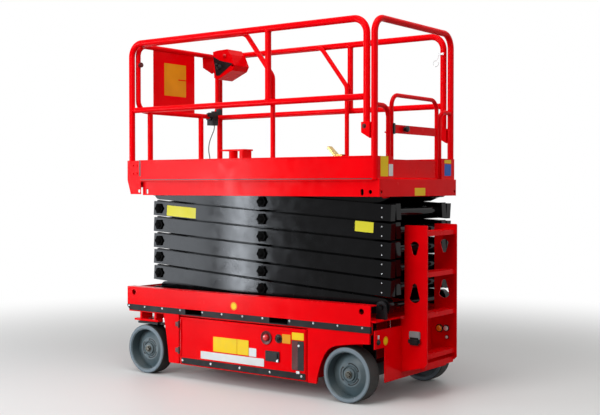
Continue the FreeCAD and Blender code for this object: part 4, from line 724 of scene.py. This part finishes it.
plaques("door_yellow_labels", "left_door", DOOR_FACE, "y",
        [(0.129, 0.357, 0.239, 0.349), (0.018, 0.126, 0.239, 0.349), (-0.477, -0.374, 0.392, 0.443)], yellow_film)
plaques("door_orange_label", "left_door", DOOR_FACE, "y", [(-0.362, -0.287, 0.359, 0.423)], orange_film)
plaques("door_white_labels", "left_door", DOOR_FACE, "y",
        [(-0.053, 0.015, 0.236, 0.297), (-0.124, 0.482, 0.173, 0.230)], white_film)
plaques("right_door_labels", "right_door", -DOOR_FACE, "y", [(-0.121, 0.482, 0.173, 0.227)], white_film)

# %% Ground controls
STOP, KEY = (-0.145, DOOR_FACE, 0.385), (-0.257, DOOR_FACE, 0.387)
# The collars' dark red is painted shade of the recesses round the stop button and the key switch.
collars = bmesh.new()
for place, outer, inner in ((STOP, 0.049, 0.024), (KEY, 0.032, 0.023)):
    profile = [(0, outer), (0.003, outer), (0.005, outer - 0.003), (0.002, inner + 0.003), (0.0004, inner), (0, inner)]
    add_turned(collars, place, (0, 1, 0), profile, 36, True)
piece("ground_collars_painted_shade", collars, "left_door", dark_red_plastic_and_shade)
button = bmesh.new()
add_turned(button, STOP, (0, 1, 0), [(0, 0.024), (0.008, 0.024), (0.014, 0.022), (0.020, 0.016), (0.022, 0.004)])
piece("ground_stop_cap", button, "left_door", red_plastic)
knob = bmesh.new()
add_turned(knob, KEY, (0, 1, 0), [(0, 0.023), (0.002, 0.023), (0.003, 0.015), (0.016, 0.014), (0.018, 0.011)])
add_block(knob, (KEY[0] - 0.003, DOOR_FACE + 0.014, KEY[2] - 0.014), (KEY[0] + 0.003, DOOR_FACE + 0.023, KEY[2] + 0.014))
piece("ground_key_switch", knob, "left_door", black_plastic)
socket = bmesh.new()
add_plaque(socket, (-0.2015, DOOR_FACE, 0.2565), (-1, 0, 0), (0, 0, 1), 0.125, 0.075, 0.006, 0.008)
add_plaque(socket, (-0.2015, DOOR_FACE + 0.006, 0.2565), (-1, 0, 0), (0, 0, 1), 0.098, 0.052, 0.007, 0.010)
bmesh.ops.bevel(socket, geom=[e for e in socket.edges if e.calc_length() > 0.02], offset=0.001, segments=1, affect="EDGES")
piece("ground_socket", socket, "left_door", black_plastic)
catches = bmesh.new()
add_plaque(catches, (-0.250, DOOR_FACE + 0.006, 0.231), (-1, 0, 0), (0, 0, 1), 0.018, 0.022, 0.005, 0.004)
add_plaque(catches, (-0.429, DOOR_FACE, 0.166), (-1, 0, 0), (0, 0, 1), 0.028, 0.020, 0.006, 0.004)
piece("ground_catches", catches, "left_door", zinc)
SLOT_LOW, SLOT_HIGH = 0.180, 0.386
for name, low, high, film in (("red", -0.425, -0.374, dark_red_plastic_and_shade), ("black", -0.477, -0.425, black_plastic)):
    plaques(f"door_slot_{name}", "left_door", DOOR_FACE, "y", [(low, high, SLOT_LOW, SLOT_HIGH)], film, 0.0015)
bolts("door_slot_bolt", "left_door", [(-0.434, DOOR_FACE + 0.0015, 0.352)], (0, 1, 0), 0.006)

# %% Louvres
louvre_tree, louvre_in, louvre_out = tree_with(
    "louvres",
    [("Slat Length", "NodeSocketFloat", 0.16), ("Slat Depth", "NodeSocketFloat", 0.012),
     ("Slat Rise", "NodeSocketFloat", 0.008), ("Material", "NodeSocketMaterial", None)],
)
size = put(louvre_tree, "ShaderNodeCombineXYZ",
           {"X": louvre_in["Slat Length"], "Y": louvre_in["Slat Rise"], "Z": louvre_in["Slat Depth"]}).outputs[0]
slat = put(louvre_tree, "GeometryNodeMeshCube", {"Size": size}).outputs["Mesh"]
slat = put(louvre_tree, "GeometryNodeTransform", {"Geometry": slat, "Rotation": (math.radians(-35), 0, 0)}).outputs[0]
upright = put(louvre_tree, "FunctionNodeAlignRotationToVector",
              {"Rotation": own_direction(louvre_tree), "Vector": (0, 0, 1)}, axis="Y").outputs[0]
placed = put(louvre_tree, "GeometryNodeInstanceOnPoints",
             {"Points": louvre_in["Geometry"], "Instance": slat, "Rotation": upright})
close_tree(louvre_tree, placed.outputs[0], louvre_in["Material"], louvre_out)
slats = [((x, -DOOR_FACE + 0.001, 0.270 + 0.018 * row), (0, -1, 0)) for x in (-0.300, -0.080) for row in range(8)]
grow("right_door_louvres", slats, louvre_tree, "right_door", **{"Slat Length": 0.17, "Material": red_paint})
print(len(slats), "louvres")

# %% [markdown]
# ## Scissor stack
# Each crossing pin ends in a lobed locking nut, and so does each pin at the front ends. Two small bolts hold the pin's
# keeper at each rear end. The nuts are a flat black, so they stand out from the glossy arms. Rubber pads lie on the
# front ends of the outer arms, where the stack comes to rest.

# %% Stack
REAR_PIN, FIRST_PIN, RISE, PITCH_LENGTH = -1.035, 0.654, 0.1273, 2.08
STOW = math.asin(RISE / PITCH_LENGTH)
NUT_RADIUS = 0.039
ARM_FACE = 0.420
crossings = {k: (REAR_PIN + PITCH_LENGTH / 2 * math.cos(STOW), FIRST_PIN + RISE * (k - 0.5)) for k in range(1, 7)}
front_pins = {k: (REAR_PIN + PITCH_LENGTH * math.cos(STOW), FIRST_PIN + RISE * k) for k in range(1, 6)}


def add_lobed_nut(mesh, centre, sign, radius, height, lobes=6):
    """A round nut with lobes for a hook spanner, and a domed pin end."""
    sides = lobes * 6
    ring = []
    for i in range(sides):
        turn = math.tau * i / sides
        reach = radius * (1 + 0.10 * math.cos(lobes * turn))
        ring.append(Vector(centre) + Vector((reach * math.cos(turn), 0, reach * math.sin(turn))))
    add_prism(mesh, ring, (0, sign * height, 0))
    top = Vector(centre) + Vector((0, sign * height, 0))
    profile = [(-0.002, radius * 0.62), (0.002, radius * 0.60), (0.006, radius * 0.42), (0.0075, radius * 0.12)]
    add_turned(mesh, top, (0, sign, 0), profile)


for k in range(1, 7):
    nuts = bmesh.new()
    for sign in (1, -1):
        x, z = crossings[k]
        add_lobed_nut(nuts, (x, sign * (ARM_FACE + 0.0005), z), sign, NUT_RADIUS, 0.0145)
        if k in front_pins:
            x, z = front_pins[k]
            add_lobed_nut(nuts, (x, sign * (ARM_FACE - 0.0005), z), sign, NUT_RADIUS, 0.012)
    piece(f"pin_nuts_{k}", nuts, f"outer_{k}", nut_paint, 28)
for k in range(2, 7):
    pin_z = FIRST_PIN + RISE * (k - 1)
    keepers = [((REAR_PIN + 0.009, sign * ARM_FACE, pin_z + step), (0, sign, 0))
               for sign in (1, -1) for step in (-0.032, 0.032)]
    grow(f"keeper_bolts_{k}", keepers, bolt_tree, f"outer_{k}",
         **{"Head Radius": 0.0036, "Head Height": 0.003, "Washer Radius": 0.005, "Material": dull_zinc})

ALONG_OUTER = (math.cos(STOW), 0, math.sin(STOW))
UP_OUTER = (-math.sin(STOW), 0, math.cos(STOW))
ARM_HEIGHT, PAD_LENGTH, PAD_THICKNESS, PAD_INNER, PAD_WIDTH = 0.111, 0.30, 0.0105, 0.388, 0.026
for k, (x, z) in front_pins.items():
    pads = bmesh.new()
    foot = Vector((x, 0, z)) + Vector(UP_OUTER) * (ARM_HEIGHT / 2 - 0.0005) - Vector(ALONG_OUTER) * (PAD_LENGTH - 0.035)
    run, rise = Vector(ALONG_OUTER) * PAD_LENGTH, Vector(UP_OUTER) * PAD_THICKNESS
    for sign in (1, -1):
        outline = [foot, foot + run, foot + run + rise, foot + rise * 0.25]
        add_prism(pads, [corner + Vector((0, sign * PAD_INNER, 0)) for corner in outline], (0, sign * PAD_WIDTH, 0))
    piece(f"stow_pads_{k}", pads, f"outer_{k}", strip_rubber)
for name, x, z, width, height in (("front", 0.808, 1.267, 0.306, 0.082), ("rear", -0.885, 1.191, 0.150, 0.072)):
    label = bmesh.new()
    add_plaque(label, (x, ARM_FACE, z), [-value for value in ALONG_OUTER], UP_OUTER, width, height, 0.0006, 0.004)
    piece(f"arm_label_{name}", label, "outer_5", lemon_film)

# %% [markdown]
# ## Platform
# The toe boards are pressed sheet with a rolled top edge and a fold along their foot. The rails are welded tube, so
# each joint has a thin bead round it. The deck is chequer plate, with raised lugs that alternate in direction.

# %% Toe boards
TOE_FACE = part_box("platform_frame")[1][1]
BEAM_START, BEAM_END = -1.035, 1.110
# The "shadow" entry is a dark strip of painted shadow along the toe boards' foot, just above the lower fold.
TOE_LINES = (("fold", 1.5055, 1.5135, 0.003), ("shadow", 1.5135, 1.5205, 0.0006), ("fold", 1.661, 1.671, 0.004))
for side, sign in (("left", 1), ("right", -1)):
    trim_mesh, shadow = bmesh.new(), bmesh.new()
    face = sign * TOE_FACE
    middle, length = (BEAM_END + BEAM_START) / 2, BEAM_END - BEAM_START
    for kind, low, high, depth in TOE_LINES:
        mesh = trim_mesh if kind == "fold" else shadow
        corner = min(0.0035, (high - low) * 0.4)
        add_plaque(mesh, (middle, face, (low + high) / 2), (-sign, 0, 0), (0, 0, 1), length, high - low, depth, corner)
    piece(f"toe_fold_{side}", trim_mesh, "platform", red_paint)
    # A dark upright strip marks the seam at the beam's front end. It shares one piece with the painted shadow line.
    add_plaque(shadow, (BEAM_END + 0.008, face, 1.608), (-sign, 0, 0), (0, 0, 1), 0.018, 0.126, 0.0008, 0.003)
    piece(f"toe_shadow_and_seam_{side}", shadow, "platform", dark_red_plastic_and_shade)
    places = [(x, face, z) for x in (1.149, 1.189) for z in (1.566, 1.630)]
    bolts(f"bracket_bolts_{side}", "platform", places, (0, sign, 0), 0.007, red_paint)

# %% Weld beads
bead_tree, bead_in, bead_out = tree_with(
    "weld beads",
    [("Tube Radius", "NodeSocketFloat", 0.024), ("Bead Radius", "NodeSocketFloat", 0.003),
     ("Ripple", "NodeSocketFloat", 0.0012), ("Material", "NodeSocketMaterial", None)],
)
hoop = put(bead_tree, "GeometryNodeCurvePrimitiveCircle", {"Resolution": 30, "Radius": bead_in["Tube Radius"]}).outputs["Curve"]
ripple = put(bead_tree, "ShaderNodeTexNoise", {"Scale": 160.0, "Detail": 1.0}).outputs["Color"]
centred = put(bead_tree, "ShaderNodeVectorMath", {0: ripple, 1: (0.5, 0.5, 0.5)}, operation="SUBTRACT").outputs[0]
scaled = put(bead_tree, "ShaderNodeVectorMath", {0: centred, "Scale": bead_in["Ripple"]}, operation="SCALE").outputs[0]
hoop = put(bead_tree, "GeometryNodeSetPosition", {"Geometry": hoop, "Offset": scaled}).outputs[0]
section = put(bead_tree, "GeometryNodeCurvePrimitiveCircle", {"Resolution": 6, "Radius": bead_in["Bead Radius"]}).outputs["Curve"]
bead = put(bead_tree, "GeometryNodeCurveToMesh", {"Curve": hoop, "Profile Curve": section}).outputs[0]
placed = put(bead_tree, "GeometryNodeInstanceOnPoints",
             {"Points": bead_in["Geometry"], "Instance": bead, "Rotation": own_direction(bead_tree)})
close_tree(bead_tree, placed.outputs[0], bead_in["Material"], bead_out)

GUARD_Y, TOP_RAIL, MID_RAIL, BEAM_TOP = 0.530, 2.591, 2.066, 1.516
SLIDE_GUARD_Y, SLOPED_POST, MIDDLE_POST = 0.478, -0.142, -0.140
bead_sets = {"platform": {0.024: [], 0.022: []}, "slide_out_deck": {0.022: [], 0.018: []}}
for sign in (1, -1):
    y = sign * GUARD_Y
    bead_sets["platform"][0.024] += [((x, y, BEAM_TOP + 0.002), (0, 0, 1)) for x in (1.232, -1.036)]
    bead_sets["platform"][0.024] += [((MIDDLE_POST, y, z), (0, 0, 1)) for z in (TOP_RAIL - 0.023, MID_RAIL + 0.022)]
    bead_sets["platform"][0.022] += [((x, y, MID_RAIL), (1, 0, 0)) for x in (-0.951, 1.208)]
    bead_sets["slide_out_deck"][0.018] += [((SLOPED_POST + 0.017, sign * SLIDE_GUARD_Y, MID_RAIL), (1, 0, 0))]
bead_sets["slide_out_deck"][0.022] += [((1.215, y, z), (0, 0, 1)) for y in (0.345, -0.265) for z in (1.671, 2.048)]
for body, sets in bead_sets.items():
    for radius, places in sets.items():
        grow(f"weld_beads_{body}_{int(radius * 1000)}", places, bead_tree, body,
             **{"Tube Radius": radius, "Material": red_paint})

# %% Chequer plate
lug_tree, lug_in, lug_out = tree_with(
    "chequer lugs",
    [("Lug Length", "NodeSocketFloat", 0.024), ("Lug Width", "NodeSocketFloat", 0.007),
     ("Lug Height", "NodeSocketFloat", 0.0016), ("Material", "NodeSocketMaterial", None)],
)
lug = put(lug_tree, "GeometryNodeMeshIcoSphere", {"Radius": 0.5, "Subdivisions": 2}).outputs["Mesh"]
lug_depth = calculate(lug_tree, "MULTIPLY", lug_in["Lug Height"], 2.0)
size = put(lug_tree, "ShaderNodeCombineXYZ",
           {"X": lug_in["Lug Length"], "Y": lug_in["Lug Width"], "Z": lug_depth}).outputs[0]
lug = put(lug_tree, "GeometryNodeTransform", {"Geometry": lug, "Scale": size}).outputs[0]
number = put(lug_tree, "GeometryNodeInputIndex").outputs[0]
odd = calculate(lug_tree, "MODULO", number, 2.0)
angle = calculate(lug_tree, "ADD", calculate(lug_tree, "MULTIPLY", odd, math.pi / 2), math.pi / 4)
turn = put(lug_tree, "ShaderNodeCombineXYZ", {"Z": angle}).outputs[0]
placed = put(lug_tree, "GeometryNodeInstanceOnPoints", {"Points": lug_in["Geometry"], "Instance": lug, "Rotation": turn})
close_tree(lug_tree, placed.outputs[0], lug_in["Material"], lug_out)


def lug_points(x_low, x_high, y_half, height, spacing=0.034):
    """Points for lugs in straight rows. The rows have an odd count, so that neighbours differ in direction."""
    columns = int((x_high - x_low) / spacing)
    rows = int(2 * y_half / spacing) | 1
    return [((x_low + spacing * (column + 0.5), (row - (rows - 1) / 2) * spacing, height), (0, 0, 1))
            for column in range(columns) for row in range(rows)]


MAIN_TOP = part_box("main_deck")[1][2]
SLIDE_PLATE = MAIN_TOP + 0.012
deck_lugs = lug_points(-1.050, 1.100, 0.395, MAIN_TOP)
grow("main_deck_lugs", deck_lugs, lug_tree, "platform", **{"Material": grey_paint})
slide_lugs = lug_points(-0.195, 1.185, 0.450, SLIDE_PLATE)
grow("slide_deck_lugs", slide_lugs, lug_tree, "slide_out_deck", **{"Material": red_paint})
print(len(deck_lugs) + len(slide_lugs), "lugs")

# %% Rear end labels and gate fittings
TOE_REAR, BEAM_REAR = -1.065, -1.080
for name, face, entries, film in (
    ("toe_label_yellow", TOE_REAR, [(0.404, 0.500, 1.533, 1.669), (-0.485, -0.384, 1.635, 1.660)], yellow_film),
    ("toe_label_white", TOE_REAR, [(0.342, 0.396, 1.536, 1.616)], white_film),
    ("toe_label_blue", TOE_REAR, [(-0.485, -0.384, 1.543, 1.630)], blue_film),
    ("rear_beam_label", BEAM_REAR, [(-0.073, 0.074, 1.401, 1.455)], yellow_film),
):
    plaques(name, "platform", face, "x", entries, film)
knob, latch = bmesh.new(), bmesh.new()
add_turned(knob, (-1.041, 0.151, 1.862), (-1, 0, 0),
           [(0, 0.014), (0.010, 0.012), (0.014, 0.020), (0.026, 0.022), (0.034, 0.017), (0.037, 0.005)])
piece("gate_latch_knob", knob, "gate", black_plastic)
add_block(latch, (-1.060, 0.298, 1.822), (-1.046, 0.322, 1.896))
bmesh.ops.bevel(latch, geom=latch.edges[:], offset=0.003, segments=2, affect="EDGES")
piece("gate_latch", latch, "platform", black_plastic)

# %% Fold brackets
for side, sign in (("left", 1), ("right", -1)):
    place = (-0.970, sign * (GUARD_Y + 0.026), 1.868)
    bolts(f"fold_bolts_{side}", "platform", [place], (0, sign, 0), 0.011, dark_red_plastic_and_shade)
    pin = bmesh.new()
    add_turned(pin, (-1.019, sign * (GUARD_Y + 0.014), 2.053), (0.4, sign, 0),
               [(0, 0.006), (0.003, 0.006), (0.005, 0.003)], 12)
    piece(f"frame_pin_{side}", pin, "platform", zinc)

# %% [markdown]
# ## Slide-out deck
# The document plate shows an orange sheet with a slit. The control box has a black face with a joystick, a stop button
# and a small mark. A short control lead hangs from its clamp down to the deck.

# %% Document sheet
plaques("document_sheet", "slide_out_deck", 1.211, "x", [(-0.073, 0.186, 2.211, 2.476)], orange_film)
plaques("document_slit", "slide_out_deck", 1.2103, "x", [(-0.073, 0.020, 2.3455, 2.3545)], red_paint)

# %% Control box
panel = bmesh.new()
BOX_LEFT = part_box("control_box")[1][1]
face_outline = [(1.076, 2.563), (1.004, 2.524), (0.862, 2.490), (1.011, 2.397), (1.045, 2.400)]
add_prism(panel, [(x, BOX_LEFT, z) for x, z in face_outline], (0, 0.003, 0))
piece("control_panel", panel, "slide_out_deck", black_plastic)
stick = bmesh.new()
add_turned(stick, (1.010, BOX_LEFT + 0.003, 2.470), (0, 1, 0.35),
           [(0, 0.026), (0.006, 0.024), (0.012, 0.017), (0.018, 0.014), (0.022, 0.008), (0.030, 0.008), (0.034, 0.013),
            (0.046, 0.014), (0.052, 0.008), (0.053, 0.002)])
piece("joystick", stick, "slide_out_deck", black_plastic)
box_stop = bmesh.new()
add_turned(box_stop, (0.944, BOX_LEFT, 2.560), (0, 1, 0),
           [(0, 0.009), (0.008, 0.009), (0.008, 0.016), (0.012, 0.017), (0.018, 0.013), (0.019, 0.003)])
piece("box_stop_cap", box_stop, "slide_out_deck", red_plastic)
plaques("box_mark", "slide_out_deck", BOX_LEFT, "y", [(0.854, 0.876, 2.466, 2.482)], yellow_film)

# %% Lead clamp and guard fittings
MID_RAIL_FRONT, CLAMP_Y = 1.215, -0.410
clamp = bmesh.new()
add_turned(clamp, (MID_RAIL_FRONT, CLAMP_Y - 0.050, MID_RAIL), (0, 1, 0),
           [(0, 0.021), (0, 0.034), (0.014, 0.038), (0.086, 0.038), (0.100, 0.034), (0.100, 0.021)], 20, True)
for low, high in (((1.172, -0.440, 2.030), (1.192, -0.372, 2.112)),
                  ((1.180, -0.500, 2.060), (1.206, -0.452, 2.136)),
                  ((1.168, -0.365, 2.062), (1.190, -0.318, 2.092))):
    add_block(clamp, low, high)
piece("clamp_jaws", clamp, "slide_out_deck", black_plastic)
knobs, ring = bmesh.new(), bmesh.new()
for sign in (1, -1):
    add_turned(knobs, (1.197, sign * SLIDE_GUARD_Y, 2.428), (-1, sign * 0.3, 0),
               [(0, 0.012), (0.008, 0.012), (0.010, 0.020), (0.024, 0.020), (0.028, 0.014)], 16)
piece("guard_knobs", knobs, "slide_out_deck", dark_red_plastic_and_shade)
add_turned(ring, (-0.925, -0.5045, 2.385), (0, 1, 0),
           [(-0.0018, 0.0225), (0, 0.0243), (0.0018, 0.0225), (0, 0.0207)], 24, True)
add_turned(ring, (-0.9515, -0.5045, 2.452), (0.35, 0, -1), [(0, 0.0014), (0.048, 0.0014)], 8)
add_block(ring, (-0.990, -0.5065, 2.446), (-0.946, -0.5005, 2.462))
piece("lanyard_ring", ring, "platform", zinc)

# %% Control lead
LEAD_ROUTE = [
    (1.190, -0.411, 1.9917), (1.190, -0.411, 1.960), (1.188, -0.378, 1.912), (1.184, -0.334, 1.839), (1.178, -0.320, 1.771),
    (1.172, -0.328, 1.715), (1.167, -0.335, 1.660), (1.162, -0.330, 1.602), (1.162, -0.330, 1.5413),
]
LEAD_DIAMETER = 0.008
lead_curve = bpy.data.curves.new("control_lead", "CURVE")
lead_curve.dimensions = "3D"
lead_curve.bevel_depth = LEAD_DIAMETER / 2
lead_curve.bevel_resolution = 4
lead_curve.use_fill_caps = True
spline = lead_curve.splines.new("NURBS")
spline.points.add(len(LEAD_ROUTE) - 1)
for point, place in zip(spline.points, LEAD_ROUTE):
    point.co = (*place, 1.0)
spline.order_u = 3
spline.use_endpoint_u = True
spline.resolution_u = 12
lead_curve.materials.append(black_plastic)
lead = bpy.data.objects.new("control_lead_run", lead_curve)
scene.collection.objects.link(lead)
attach(lead, "slide_out_deck")
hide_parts("control_lead")

# %% [markdown]
# ## Ladder treads
# Each tread is pressed with two rows of raised rings that bite into a boot's sole. They are the same ring many times,
# so a tree places them.

# %% Tread rings
ring_tree, ring_in, ring_out = tree_with(
    "tread rings",
    [("Ring Radius", "NodeSocketFloat", 0.008), ("Ring Height", "NodeSocketFloat", 0.003),
     ("Material", "NodeSocketMaterial", None)],
)
narrow = calculate(ring_tree, "MULTIPLY", ring_in["Ring Radius"], 0.7)
ring = put(ring_tree, "GeometryNodeMeshCone",
           {"Vertices": 10, "Radius Top": narrow, "Radius Bottom": ring_in["Ring Radius"],
            "Depth": ring_in["Ring Height"]}).outputs["Mesh"]
placed = put(ring_tree, "GeometryNodeInstanceOnPoints", {"Points": ring_in["Geometry"], "Instance": ring})
close_tree(ring_tree, placed.outputs[0], ring_in["Material"], ring_out)
tread_rings = [((-1.218 + 0.022 * row, (column - 7.5) * 0.024 + (0.012 if row % 2 else 0), 0.320 + 0.280 * step), (0, 0, 1))
               for step in range(4) for row in range(3) for column in range(16)]
grow("tread_rings", tread_rings, ring_tree, "chassis", **{"Material": red_paint})
print(len(tread_rings), "tread rings")

# %% Round labels
RAIL_FACE = 0.560
for name, reach, proud, film in (("rims", 0.030, 0.0006, orange_film), ("fields", 0.021, 0.0010, yellow_film)):
    round_labels = bmesh.new()
    add_turned(round_labels, (0.157, RAIL_FACE, 0.589), (0, 1, 0), [(0, reach), (proud, reach)], 32)
    add_turned(round_labels, (REAR_PLATE, 0.424, 0.427), (-1, 0, 0), [(0, reach), (proud, reach)], 32)
    piece(f"round_label_{name}", round_labels, "chassis", film)
